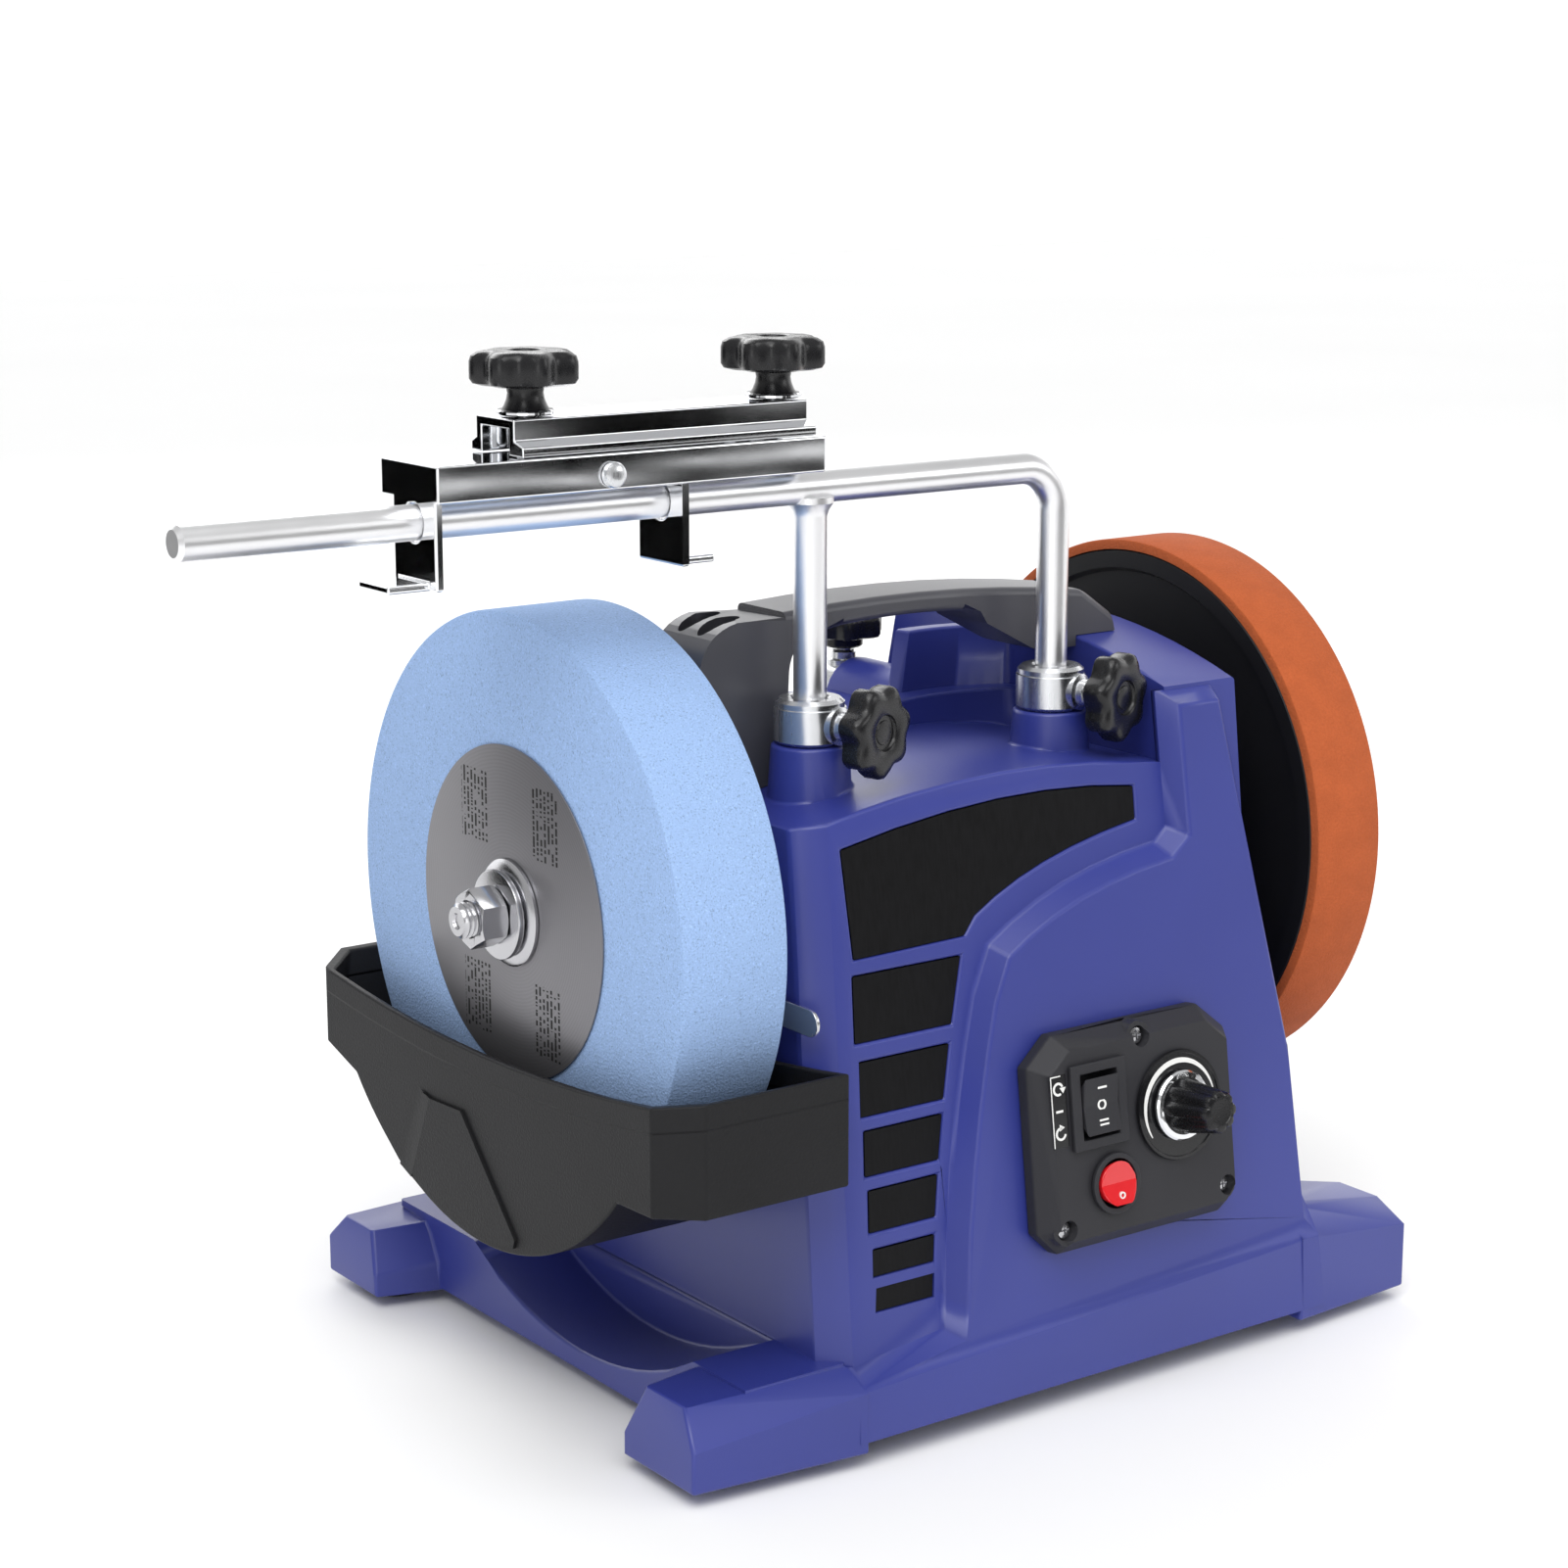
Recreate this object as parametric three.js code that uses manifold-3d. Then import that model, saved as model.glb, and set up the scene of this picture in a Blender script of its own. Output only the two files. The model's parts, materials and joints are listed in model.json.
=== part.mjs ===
// Two-wheel wet grinding sharpener: slow water-cooled grinding wheel on the left, leather honing
// wheel on the right, both on one spindle through a hollow plastic housing.
// Millimetres, +Z up, X along the spindle, -Y towards the user. Written about a working frame
// whose X = 0, Y = 0 is the housing's middle on the spindle line and whose Z = 0 is the bench;
// the finished group is then shifted so that its footprint's middle is the origin.
import * as THREE from 'three';
import { ConvexGeometry } from 'three/addons/geometries/ConvexGeometry.js';
import { mergeVertices } from 'three/addons/utils/BufferGeometryUtils.js';
import Module from 'manifold-3d';

const wasm = await Module();
wasm.setup();

// ---------------------------------------------------------------- driving dimensions
const GAP = 0.3;                 // clearance between touching pieces
const WALL = 3;                  // housing wall
const SPINDLE_Z = 170;           // spindle height over the bench
const SPINDLE_R = 6;             // M12 spindle
const WHEEL_R = 100;             // grinding wheel, 200 x 40
const WHEEL_X = [-151, -111];
const HONE_R = 101;              // honing wheel with its leather band
const HONE_X = [119.5, 150];
const HONE_BAND = 4;             // leather thickness
const LEAN = 0.13;               // how far the front leans back per millimetre of height
const FRONT_Y = -80;             // front face at FRONT_Z
const FRONT_Z = 230;
const REAR_Y = 80;               // rear face at DECK_Z
const DECK_Z = 214;              // crown of the arched deck
const DECK_R = 390;
const DECK_X = -5;               // where the deck's crown is
const BLOCK_X = 63;              // left side of the raised right-hand block
const RIGHT_X = 96;              // right wall of that block
const CREST_Z = 249;             // crown of the block's arched top
const CREST_Y = 8;
const CREST_R = 260;
const CHAMFER = 9;               // vertical corner chamfer of the housing
const PANEL_PROUD = 8;           // raised panel on the front
const POST_X = [-66.2, 37.4];    // tool support legs
const POST_Y = -50;
const ROD_R = 5.5;               // tool support rod
const BAR_Z = 309.6;
const BAR_LEFT_X = -291;
const BEND_R = 15;
const LEG_BOTTOM_Z = 165;
const SLEEVE_R = 12;
const SLEEVE_Z = [225.5, 240.5];
const KNOB_TURN = 17 * Math.PI / 180;   // clamp knobs point this far right of straight ahead
const REAR_SLEEVE_Z = 208;
const REAR_SLEEVE_X = [-51, 53];
const SCOOP = { y: -5, z: 150, r: 137 };
const FOOT_H = 5;                // rubber feet
const PLATE_Z = [6.4, 8.4];      // bottom plate
const PLINTH_Y = [-117.5, 131];
const TROUGH_X = [-166, -99];
const TROUGH_R = 112;
const TROUGH_RIM_Z = 134;
const TROUGH_WALL = 2.6;
const PANEL_Z = 92;              // middle of the control box on the leaning front
const PANEL_X = 25;
const BOX_DEEP = 12;
const DRIVE_R = 60;              // friction wheel on the spindle
const ROLLER_R = 8;
const MOTOR_Y = 25;
const MOTOR_R = 36;

// ---------------------------------------------------------------- colours and finishes
const finish = (color, roughness, metalness) => ({ color, roughness, metalness });
const BLUE = finish(0x35409a, 0.45, 0);
const BLACK = finish(0x2b2b2e, 0.55, 0);
const RUBBER = finish(0x1c1c1e, 0.9, 0);
const CHROME = finish(0xd8d9dc, 0.12, 1);
const STEEL = finish(0xa9abad, 0.35, 1);
const STONE = finish(0x94b7e2, 0.95, 0);
const LABEL = finish(0x827d80, 0.4, 0.6);
const LEATHER = finish(0xc86a38, 0.85, 0);
const RED = finish(0xd02a2a, 0.3, 0);
const BOARD = finish(0x2d6b3c, 0.6, 0);
const BRASS = finish(0xb99a5b, 0.35, 1);

// ---------------------------------------------------------------- solids
const machine = new THREE.Group();

function solid(geometry) {
  const bare = geometry.index ? geometry.toNonIndexed() : geometry.clone();
  bare.deleteAttribute('normal');
  bare.deleteAttribute('uv');
  const merged = mergeVertices(bare, 1e-4);
  const index = merged.index.array;
  const kept = [];
  for (let i = 0; i < index.length; i += 3) {
    const [a, b, c] = [index[i], index[i + 1], index[i + 2]];
    if (a !== b && b !== c && c !== a) kept.push(a, b, c);
  }
  return new wasm.Manifold(new wasm.Mesh({
    numProp: 3,
    vertProperties: new Float32Array(merged.attributes.position.array),
    triVerts: new Uint32Array(kept),
  }));
}

function geometryOf(body) {
  const mesh = body.getMesh();
  const geometry = new THREE.BufferGeometry();
  geometry.setAttribute('position', new THREE.BufferAttribute(new Float32Array(mesh.vertProperties), 3));
  geometry.setIndex(new THREE.BufferAttribute(new Uint32Array(mesh.triVerts), 1));
  geometry.computeVertexNormals();
  return geometry;
}

function add(name, body, look, parent = machine) {
  const mesh = new THREE.Mesh(geometryOf(body), new THREE.MeshStandardMaterial(look));
  mesh.name = name;
  parent.add(mesh);
}

const join = (...bodies) => bodies.reduce((all, one) => all.add(one));
const cut = (body, ...tools) => tools.reduce((rest, tool) => rest.subtract(tool), body);

function box(x0, x1, y0, y1, z0, z1) {
  const geometry = new THREE.BoxGeometry(x1 - x0, y1 - y0, z1 - z0);
  return solid(geometry.translate((x0 + x1) / 2, (y0 + y1) / 2, (z0 + z1) / 2));
}

const hull = (points) => solid(new ConvexGeometry(points.map((p) => new THREE.Vector3(...p))));

// Round bars along each axis; r may be one radius or [radius at the low end, radius at the high end].
function bar(axis, r, from, to, a, b, sides = 24) {
  const [low, high] = Array.isArray(r) ? r : [r, r];
  const geometry = new THREE.CylinderGeometry(high, low, to - from, sides);
  const mid = (from + to) / 2;
  if (axis === 'x') return solid(geometry.rotateZ(-Math.PI / 2).translate(mid, a, b));
  if (axis === 'y') return solid(geometry.translate(a, mid, b));
  return solid(geometry.rotateX(Math.PI / 2).translate(a, b, mid));
}

const tube = (axis, outer, inner, from, to, a, b, sides = 24) =>
  cut(bar(axis, outer, from, to, a, b, sides), bar(axis, inner, from - 1, to + 1, a, b, sides));

const flat = (points) => new THREE.Shape(points.map(([u, v]) => new THREE.Vector2(u, v)));

// Outlines swept straight: (y, z) along X, (x, z) along Y and (x, y) along Z.
function sweep(axis, shape, from, to) {
  const options = { depth: to - from, bevelEnabled: false, curveSegments: 8 };
  const geometry = new THREE.ExtrudeGeometry(shape, options);
  if (axis === 'x') geometry.rotateX(Math.PI / 2).rotateZ(Math.PI / 2).translate(from, 0, 0);
  if (axis === 'y') geometry.rotateX(Math.PI / 2).translate(0, to, 0);
  if (axis === 'z') geometry.translate(0, 0, from);
  return solid(geometry);
}

// Closed solid through rings of the same number of points, its ends filled in the plane of axes u and v.
function loft(rings, u, v) {
  const count = rings[0].length;
  const positions = rings.flat(2);
  const index = [];
  for (let k = 0; k < rings.length - 1; k += 1) {
    for (let i = 0; i < count; i += 1) {
      const j = (i + 1) % count;
      const [a, b, c, d] = [k * count + i, k * count + j, (k + 1) * count + j, (k + 1) * count + i];
      index.push(a, b, c, a, c, d);
    }
  }
  const last = (rings.length - 1) * count;
  const project = (ring) => ring.map((p) => new THREE.Vector2(p[u], p[v]));
  const face = (ring) => THREE.ShapeUtils.triangulateShape(project(ring), []);
  for (const [a, b, c] of face(rings[0])) index.push(a, c, b);
  for (const [a, b, c] of face(rings[rings.length - 1])) index.push(last + a, last + b, last + c);
  const geometry = new THREE.BufferGeometry();
  geometry.setAttribute('position', new THREE.BufferAttribute(new Float32Array(positions), 3));
  geometry.setIndex(index);
  return solid(geometry);
}

// Moves every edge of a counter-clockwise outline inwards by d.
function inset(points, d) {
  const count = points.length;
  return points.map((p, i) => {
    const before = points[(i + count - 1) % count];
    const after = points[(i + 1) % count];
    const a = new THREE.Vector2(p[0] - before[0], p[1] - before[1]).normalize();
    const b = new THREE.Vector2(after[0] - p[0], after[1] - p[1]).normalize();
    const normal = new THREE.Vector2(-(a.y + b.y), a.x + b.x);
    const scale = d / Math.max(0.2, 0.5 * normal.lengthSq());
    return [p[0] + normal.x * scale, p[1] + normal.y * scale];
  });
}

const frontY = (z) => FRONT_Y - LEAN * (FRONT_Z - z);
const rearY = (z) => REAR_Y + LEAN * (DECK_Z - z);
// An (x, z) outline laid on the leaning front face, raised by off towards the user.
const onFront = (points, off) => points.map(([x, z]) => [x, frontY(z) - off, z]);
const frontSolid = (points, low, high) => loft([onFront(points, low), onFront(points, high)], 0, 2);

// ---------------------------------------------------------------- control box on the leaning front
// Its own frame: x to the right, z up the face and -y out of it, from the raised panel's surface.
const LEAN_ANGLE = Math.atan(LEAN);
const BOX_OUTLINE = [
  [-37, -38], [36.5, -38], [44, -30], [44, 26], [32, 36], [-33.5, 36], [-45, 26.5], [-45, -30],
];
const ROCKER = { x: [-33, -9], z: [-3, 26] };
const POWER = { x: -15.7, z: -16.5, r: 10.4 };
const DIAL = { x: 14.5, z: 4.7, r: 19 };
const BOX_SCREWS = [[0.5, 30.5], [-36.5, -29], [35.5, -27.5]];

// Openings in the housing behind the box: one for the switches and the dial, and the screws' pilot holes.
function controlOpenings() {
  const opening = box(-34, 27, -5, 20, -28, 27);
  const pilots = BOX_SCREWS.map(([x, z]) => bar('y', 1.6 + GAP, -2, 9, x, z, 10));
  const degrees = -LEAN_ANGLE * 180 / Math.PI;
  const spot = [PANEL_X, frontY(PANEL_Z) - PANEL_PROUD, PANEL_Z];
  return [opening, ...pilots].map((one) => one.rotate([degrees, 0, 0]).translate(spot));
}

// ---------------------------------------------------------------- housing
const leftX = (z) => -93 - 0.031 * (206 - z);

// The housing's plan at height z, drawn in by the wall thickness t.
function towerRing(z, rightX, t) {
  const [l, r, f, b] = [leftX(z) + t, rightX - t, frontY(z) + t, rearY(z) - t];
  return [
    [l, f + CHAMFER, z], [l + CHAMFER, f, z], [r, f, z],
    [r, b, z], [l + CHAMFER, b, z], [l, b - CHAMFER, z],
  ];
}

function tower(t, bottom, top) {
  const flare = [[30, 110], [100, 108], [165, RIGHT_X]];
  const lower = hull([[bottom, 110], ...flare].flatMap(([z, x]) => towerRing(z, x, t)));
  const upper = hull([[165, RIGHT_X], [top, RIGHT_X]].flatMap(([z, x]) => towerRing(z, x, t)));
  return join(lower, upper);
}

// Everything under the arched deck, lowered by t.
function deckArch(t) {
  const shape = new THREE.Shape();
  shape.moveTo(-130, -20);
  shape.lineTo(130, -20);
  for (let x = 130; x >= -130; x -= 20) {
    shape.lineTo(x, DECK_Z - t - (x - DECK_X) ** 2 / (2 * DECK_R));
  }
  return sweep('y', shape, -150, 150);
}

// The arched block over the drive wheel, drawn in by t.
function rightBlock(t) {
  const points = [[frontY(180) + t, 180]];
  for (let y = FRONT_Y + t; y <= 78 - t; y += 10) {
    points.push([y, CREST_Z - t - (y - CREST_Y) ** 2 / (2 * CREST_R)]);
  }
  points.push([rearY(180) - t, 180]);
  return sweep('x', flat(points), BLOCK_X + t, RIGHT_X - t);
}

// A ring sector about the right-hand leg, used for the step and wall behind the deck.
function sector(r0, r1, from, to, x = 30, y = POST_Y) {
  const ring = [];
  const steps = 8;
  for (let i = 0; i <= steps; i += 1) {
    const angle = from + (to - from) * i / steps;
    ring.push([x + r1 * Math.cos(angle), y + r1 * Math.sin(angle)]);
  }
  for (let i = steps; i >= 0; i -= 1) {
    const angle = from + (to - from) * i / steps;
    ring.push([x + r0 * Math.cos(angle), y + r0 * Math.sin(angle)]);
  }
  return ring;
}

function deckWall() {
  const deg = Math.PI / 180;
  const low = sector(62, 69, 56 * deg, 103 * deg);
  const high = sector(62, 69, 56 * deg, 96 * deg);
  const wall = loft([low.map(([x, y]) => [x, y, 200]), high.map(([x, y]) => [x, y, 245])], 0, 1);
  const step = sweep('z', flat(sector(53, 63, 52 * deg, 132 * deg)), 200, 223);
  return join(wall, step);
}

// Outline of the raised front panel where it meets the front face, counter-clockwise from its foot.
function panelOutline() {
  const path = new THREE.Path();
  path.moveTo(-54, 22);
  path.lineTo(111, 22);
  path.lineTo(111, 42);
  path.lineTo(108, 106);
  path.lineTo(95, 178);
  path.lineTo(85, 233);
  path.lineTo(59, 233);
  path.lineTo(60, 186);
  path.lineTo(54, 181.5);
  path.quadraticCurveTo(8, 177, -22, 158);
  path.lineTo(-30, 142);
  path.quadraticCurveTo(-45, 95, -54, 22);
  return path.getPoints(6).slice(0, -1).map((p) => [p.x, p.y]);
}

function frontPanel() {
  const base = panelOutline();
  const top = inset(base, 4);
  return loft([onFront(base, -2), onFront(base, 0), onFront(top, PANEL_PROUD)], 0, 2);
}

// Windows in the front wall: the name plate's field and six vent slots below it.
function windowOutlines() {
  const field = new THREE.Path();
  field.moveTo(-77, 161);
  field.lineTo(-31, 162);
  field.lineTo(-26, 168);
  field.quadraticCurveTo(0, 184, 47, 190.5);
  field.lineTo(47, 202);
  field.quadraticCurveTo(-10, 210.5, -79, 197);
  field.lineTo(-77, 161);
  const slots = [[156, 134], [128, 110], [105.5, 90.5], [86, 72], [66.5, 57.5], [54, 46]];
  const rightX = (z) => -33 - 0.285 * (156 - z) + 0.0008 * (156 - z) ** 2;
  return [
    field.getPoints(6).slice(0, -1).map((p) => [p.x, p.y]),
    ...slots.map(([top, low]) => [[-79, low], [rightX(low), low], [rightX(top), top], [-78, top]]),
  ];
}

function plinth(rightX) {
  const [f, b] = PLINTH_Y;
  return hull([
    [-95, f, 9], [114, f, 9], [-95, b, 9], [114, b, 9],
    [-95, f + 0.5, 26], [110, f + 0.5, 36], [-95, b - 0.5, 26], [110, b - 0.5, 36],
    [-95, frontY(30), 30], [rightX, frontY(54), 54], [-95, rearY(30), 30], [rightX, rearY(54), 54],
  ]);
}

// One foot: a bevelled wedge from its inner section at x0 to its end at x1.
// Sections are [outer edge y, outer height, ridge y, top height, inner ridge y, inner edge y].
function foot(x0, s0, x1, s1) {
  const section = (x, [outer, shoulder, ridge, top, inner, edge], lean) => [
    [x, outer, FOOT_H], [x, outer, shoulder], [x - lean, ridge, top],
    [x - lean, inner, top], [x, edge, shoulder - 6], [x, edge, FOOT_H],
  ];
  return hull([...section(x0, s0, 0), ...section(x1, s1, Math.sign(x1 - x0) * 3)]);
}

function feet() {
  return join(
    foot(-92, [-117.5, 26, -106, 31, -70, -58], -156, [-111, 19, -102, 31, -80, -71]),
    foot(-92, [131, 26, 120, 31, 88, 78], -154, [132, 19, 124, 28, 104, 97]),
    foot(102, [-117.5, 36, -104, 46, -74, -62], 158, [-114, 29, -103, 37, -83, -74]),
    foot(102, [131, 36, 118, 46, 88, 76], 158, [130, 29, 119, 37, 99, 90]),
  );
}

function housing() {
  const skirt = box(-131, -92, -104, 118, FOOT_H + 1, 32);
  const scoop = bar('x', SCOOP.r, -170, leftX(30), SCOOP.y, SCOOP.z, 96);
  const shell = join(
    tower(0, 9, 225).intersect(deckArch(0)),
    rightBlock(0),
    deckWall(),
    frontPanel(),
    plinth(111),
    cut(join(skirt, feet()), scoop),
    ...POST_X.map((x) => bar('z', [15, 13], 195, SLEEVE_Z[0] - GAP, x, POST_Y)),
    ...REAR_SLEEVE_X.map((x) => bar('y', 14.5, 45, rearY(REAR_SLEEVE_Z) + 2, x, REAR_SLEEVE_Z)),
  );
  const hollow = join(
    tower(WALL, 5, 225).intersect(deckArch(WALL)),
    rightBlock(WALL),
    box(BLOCK_X + WALL, RIGHT_X - WALL, FRONT_Y + 12, REAR_Y - 12, 170, 232),
  );
  const windows = windowOutlines().map((w) => frontSolid(w, -5, 3));
  const slots = [0, 1, 2, 3, 4, 5].map((i) => box(-30, 40, 70, 140, 66 + 12 * i, 70 + 12 * i));
  return cut(
    shell,
    hollow,
    ...windows,
    ...slots,
    ...POST_X.map((x) => bar('z', ROD_R + 0.6, 180, 230, x, POST_Y)),
    ...REAR_SLEEVE_X.map((x) => bar('y', ROD_R + 0.6, 30, 90, x, REAR_SLEEVE_Z)),
    bar('x', 9, -120, 120, 0, SPINDLE_Z),
    ...controlOpenings(),
    box(-92, -52, 80, 125, 54, 90),
  );
}

// The black grille behind the windows, its pads standing in them.
function windowGrille() {
  const back = [
    [-80.5, 42], [-49, 42], [-28, 150], [-20, 165], [50, 187],
    [52, 201], [20, 206], [-50, 203.5], [-80.5, 198.5],
  ];
  const pads = windowOutlines().map((w) => frontSolid(inset(w, GAP), -4.2, -0.6));
  return join(frontSolid(back, -WALL - 1.9, -WALL - 0.4), ...pads);
}

add('housing', housing(), BLUE);
add('window_grille', windowGrille(), BLACK);
add('bottom_plate', box(-90, 98, -100, 96, ...PLATE_Z), BLACK);

const FOOT_PADS = {
  front_left: [-138, -90],
  rear_left: [-136, 114],
  front_right: [138, -94],
  rear_right: [138, 110],
};
for (const [place, [x, y]] of Object.entries(FOOT_PADS)) {
  add(`foot_${place}`, bar('z', [11, 12], 0, FOOT_H - GAP, x, y, 20), RUBBER);
}

// ---------------------------------------------------------------- carrying handle
const HANDLE_Y = [-34, -6];

function carryHandle() {
  const outer = new THREE.Shape();
  outer.moveTo(-96, 214);
  outer.lineTo(-99, 250);
  outer.quadraticCurveTo(-97, 262, -84, 264.5);
  outer.quadraticCurveTo(-5, 272, 66, 262);
  outer.lineTo(79, 253);
  outer.lineTo(82, 242);
  outer.lineTo(45, 242);
  outer.lineTo(22, 254);
  outer.lineTo(19, 258.5);
  outer.quadraticCurveTo(-10, 262, -50, 258.5);
  outer.quadraticCurveTo(-62, 257, -63, 246);
  outer.lineTo(-65, 205);
  outer.lineTo(-90, 200);
  const raw = sweep('y', outer, ...HANDLE_Y);
  const seat = join(tower(-GAP, 9, 225).intersect(deckArch(-GAP)), rightBlock(-GAP));
  const holes = [-27, -14].map((y) => bar('z', 4, 240, 280, -84, y + 0.5, 12));
  return cut(raw, seat, ...holes);
}

add('carry_handle', carryHandle(), BLACK);

// ---------------------------------------------------------------- tool support, sleeves, clamp knobs
function bentRod() {
  const [, rightX] = POST_X;
  const bendX = rightX - BEND_R;
  const bendZ = BAR_Z - BEND_R;
  const path = new THREE.Curve();
  path.getPoint = (t, target = new THREE.Vector3()) => {
    const angle = t * Math.PI / 2;
    return target.set(bendX + BEND_R * Math.sin(angle), POST_Y, bendZ + BEND_R * Math.cos(angle));
  };
  const circle = new THREE.Shape().absarc(0, 0, ROD_R, 0, 2 * Math.PI);
  const bend = new THREE.ExtrudeGeometry(circle, { steps: 8, extrudePath: path, curveSegments: 16 });
  return join(
    bar('x', [ROD_R - 1.2, ROD_R], BAR_LEFT_X, BAR_LEFT_X + 1.5, POST_Y, BAR_Z, 16),
    bar('x', ROD_R, BAR_LEFT_X + 1.4, bendX + 0.1, POST_Y, BAR_Z, 16),
    solid(bend),
    bar('z', ROD_R, LEG_BOTTOM_Z, bendZ + 0.1, rightX, POST_Y, 16),
    bar('z', ROD_R, LEG_BOTTOM_Z, BAR_Z - 1, POST_X[0], POST_Y, 16),
  );
}

add('tool_support', bentRod(), CHROME);

// A seven-lobed knob on the local -Y axis with its threaded stud, measured from the rod's axis.
const KNOB = { lobes: 7, r: 14.4, wave: 1.3, face: 31, back: 21.5, hub: 17.6, stud: 3 };

function starOutline(r, wave, lobes) {
  const count = lobes * 4;
  return Array.from({ length: count }, (unused, i) => {
    const angle = i * 2 * Math.PI / count;
    const reach = r + wave * Math.cos(lobes * angle);
    return [reach * Math.cos(angle), reach * Math.sin(angle)];
  });
}

function clampKnob() {
  const head = sweep('y', flat(starOutline(KNOB.r, KNOB.wave, KNOB.lobes)), -KNOB.face, -KNOB.back);
  const dimple = bar('y', 4.5, -KNOB.face - 1, -KNOB.face + 1.5, 0, 0);
  return join(
    cut(head, dimple),
    bar('y', 7.5, -KNOB.back - 0.5, -KNOB.hub, 0, 0),
    bar('y', KNOB.stud, -KNOB.hub - 1, -ROD_R - GAP, 0, 0, 12),
  );
}

// The plated sleeve that the leg slides in, with its threaded boss towards the knob.
function sleeve(height) {
  const body = join(
    bar('z', SLEEVE_R, 0, height, 0, 0, 28),
    bar('y', 6.5, -16.5, -6, 0, height / 2 - 1, 16),
  );
  return cut(
    body,
    bar('z', ROD_R + 0.5, -1, height + 1, 0, 0, 16),
    bar('y', KNOB.stud + GAP, -18, -2, 0, height / 2 - 1, 12),
  );
}

function placed(x, y, z, rotation) {
  const group = new THREE.Group();
  group.position.set(x, y, z);
  group.rotation.set(...rotation);
  machine.add(group);
  return group;
}

['left', 'right'].forEach((side, i) => {
  const height = SLEEVE_Z[1] - SLEEVE_Z[0];
  const seat = placed(POST_X[i], POST_Y, SLEEVE_Z[0], [0, 0, KNOB_TURN]);
  add(`support_sleeve_${side}`, sleeve(height), CHROME, seat);
  const knobSeat = placed(POST_X[i], POST_Y, SLEEVE_Z[0] + height / 2 - 1, [0, 0, KNOB_TURN]);
  add(`support_knob_${side}`, clampKnob(), BLACK, knobSeat);
});

// The rear pair of sleeves lies flat, for grinding with the support upright on the back edge.
const REAR_LENGTH = 16;
['left', 'right'].forEach((side, i) => {
  const y = rearY(REAR_SLEEVE_Z) + 2 + GAP;
  const seat = placed(REAR_SLEEVE_X[i], y, REAR_SLEEVE_Z, [-Math.PI / 2, 0, 0]);
  add(`rear_sleeve_${side}`, sleeve(REAR_LENGTH), CHROME, seat);
  const knobSeat = placed(REAR_SLEEVE_X[i], y + REAR_LENGTH / 2 - 1, REAR_SLEEVE_Z, [-Math.PI / 2, 0, 0]);
  add(`rear_knob_${side}`, clampKnob(), BLACK, knobSeat);
});

// ---------------------------------------------------------------- planer-blade jig on the support bar
const JIG = {
  x: [-213, -71],
  y: [-65, -31],
  z: [316.2, 327.6],
  clampX: [-183, -74],
  knobX: [-172, -79.5],
  knobY: -48,
};

function jigBody() {
  const [x0, x1] = JIG.x;
  const [y0, y1] = JIG.y;
  const [z0, z1] = JIG.z;
  const hanger = (x) => cut(
    box(x, x + 2.5, POST_Y - 13, POST_Y + 12, 290, z0 + 2),
    bar('x', ROD_R + 0.4, x - 1, x + 4, POST_Y, BAR_Z, 24),
  );
  const body = join(
    box(x0, x1, y0, y1, z0, z1),
    hanger(x0),
    hanger(-125),
    box(x0 - 14, x0 + 2.5, POST_Y - 9, POST_Y + 9, 290, 292.5),
    box(-125, -110, POST_Y - 9, POST_Y + 9, 290, 292.5),
  );
  return cut(
    body,
    box(x0 + 2.5, x1 - 2.5, y0 + 2.5, y1 - 2.5, z0 - 1, z1 - 3),
    ...JIG.knobX.map((x) => bar('z', 3.5, z0 - 1, z1 + 1, x, JIG.knobY, 12)),
  );
}

function jigClampBar() {
  const [x0, x1] = JIG.clampX;
  const z = JIG.z[1] + GAP;
  const section = [
    [-64, z], [-34, z], [-34, z + 3], [-37, z + 4.5],
    [-37, z + 11], [-59, z + 11], [-59, z + 4.5], [-64, z + 3],
  ];
  return cut(
    sweep('x', flat(section), x0, x1),
    box(x0 - 1, x1 + 1, -56, -40, z - 1, z + 8),
    ...JIG.knobX.map((x) => bar('z', 3.5, z - 1, z + 12, x, JIG.knobY, 12)),
  );
}

// Seven-lobed hand knob standing on its washer, with a flared stem and a stud through the clamp bar.
function jigKnob(x) {
  const base = JIG.z[1] + GAP + 11 + GAP;
  const y = JIG.knobY;
  const head = sweep('z', flat(starOutline(15.4, 1.6, 7)), base + 8.5, base + 19.5);
  return join(
    cut(head.translate([x, y, 0]), bar('z', 4, base + 18.5, base + 21, x, y, 16)),
    bar('z', [7, 5.6], base + 1.5, base + 9, x, y),
    bar('z', 9, base, base + 1.6, x, y),
    bar('z', 3, JIG.z[0] + 0.5, base + 1, x, y, 12),
  );
}

add('jig_body', jigBody(), CHROME);
add('jig_screw', bar('y', 4, JIG.y[0] - 3, JIG.y[0] - GAP, -152, 321, 16), STEEL);
add('jig_clamp_bar', jigClampBar(), CHROME);
add('jig_knob_left', jigKnob(JIG.knobX[0]), BLACK);
add('jig_knob_right', jigKnob(JIG.knobX[1]), BLACK);

// ---------------------------------------------------------------- spindle, wheels and drive
function wheelBody() {
  const [x0, x1] = WHEEL_X;
  const bore = SPINDLE_R + GAP;
  const edge = WHEEL_R - 1.5;
  const section = [
    [bore, x0], [edge, x0], [WHEEL_R, x0 + 1.5],
    [WHEEL_R, x1 - 1.5], [edge, x1], [bore, x1], [bore, x0],
  ];
  const geometry = new THREE.LatheGeometry(section.map(([r, x]) => new THREE.Vector2(r, x)), 64);
  return solid(geometry.rotateZ(-Math.PI / 2).translate(0, 0, SPINDLE_Z));
}

// A ring or nut on the spindle, with a round bore whatever its outside.
const onSpindle = (outer, from, to, sides = 24) => cut(
  bar('x', outer, from, to, 0, SPINDLE_Z, sides),
  bar('x', SPINDLE_R + GAP, from - 1, to + 1, 0, SPINDLE_Z, 16),
);

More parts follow.
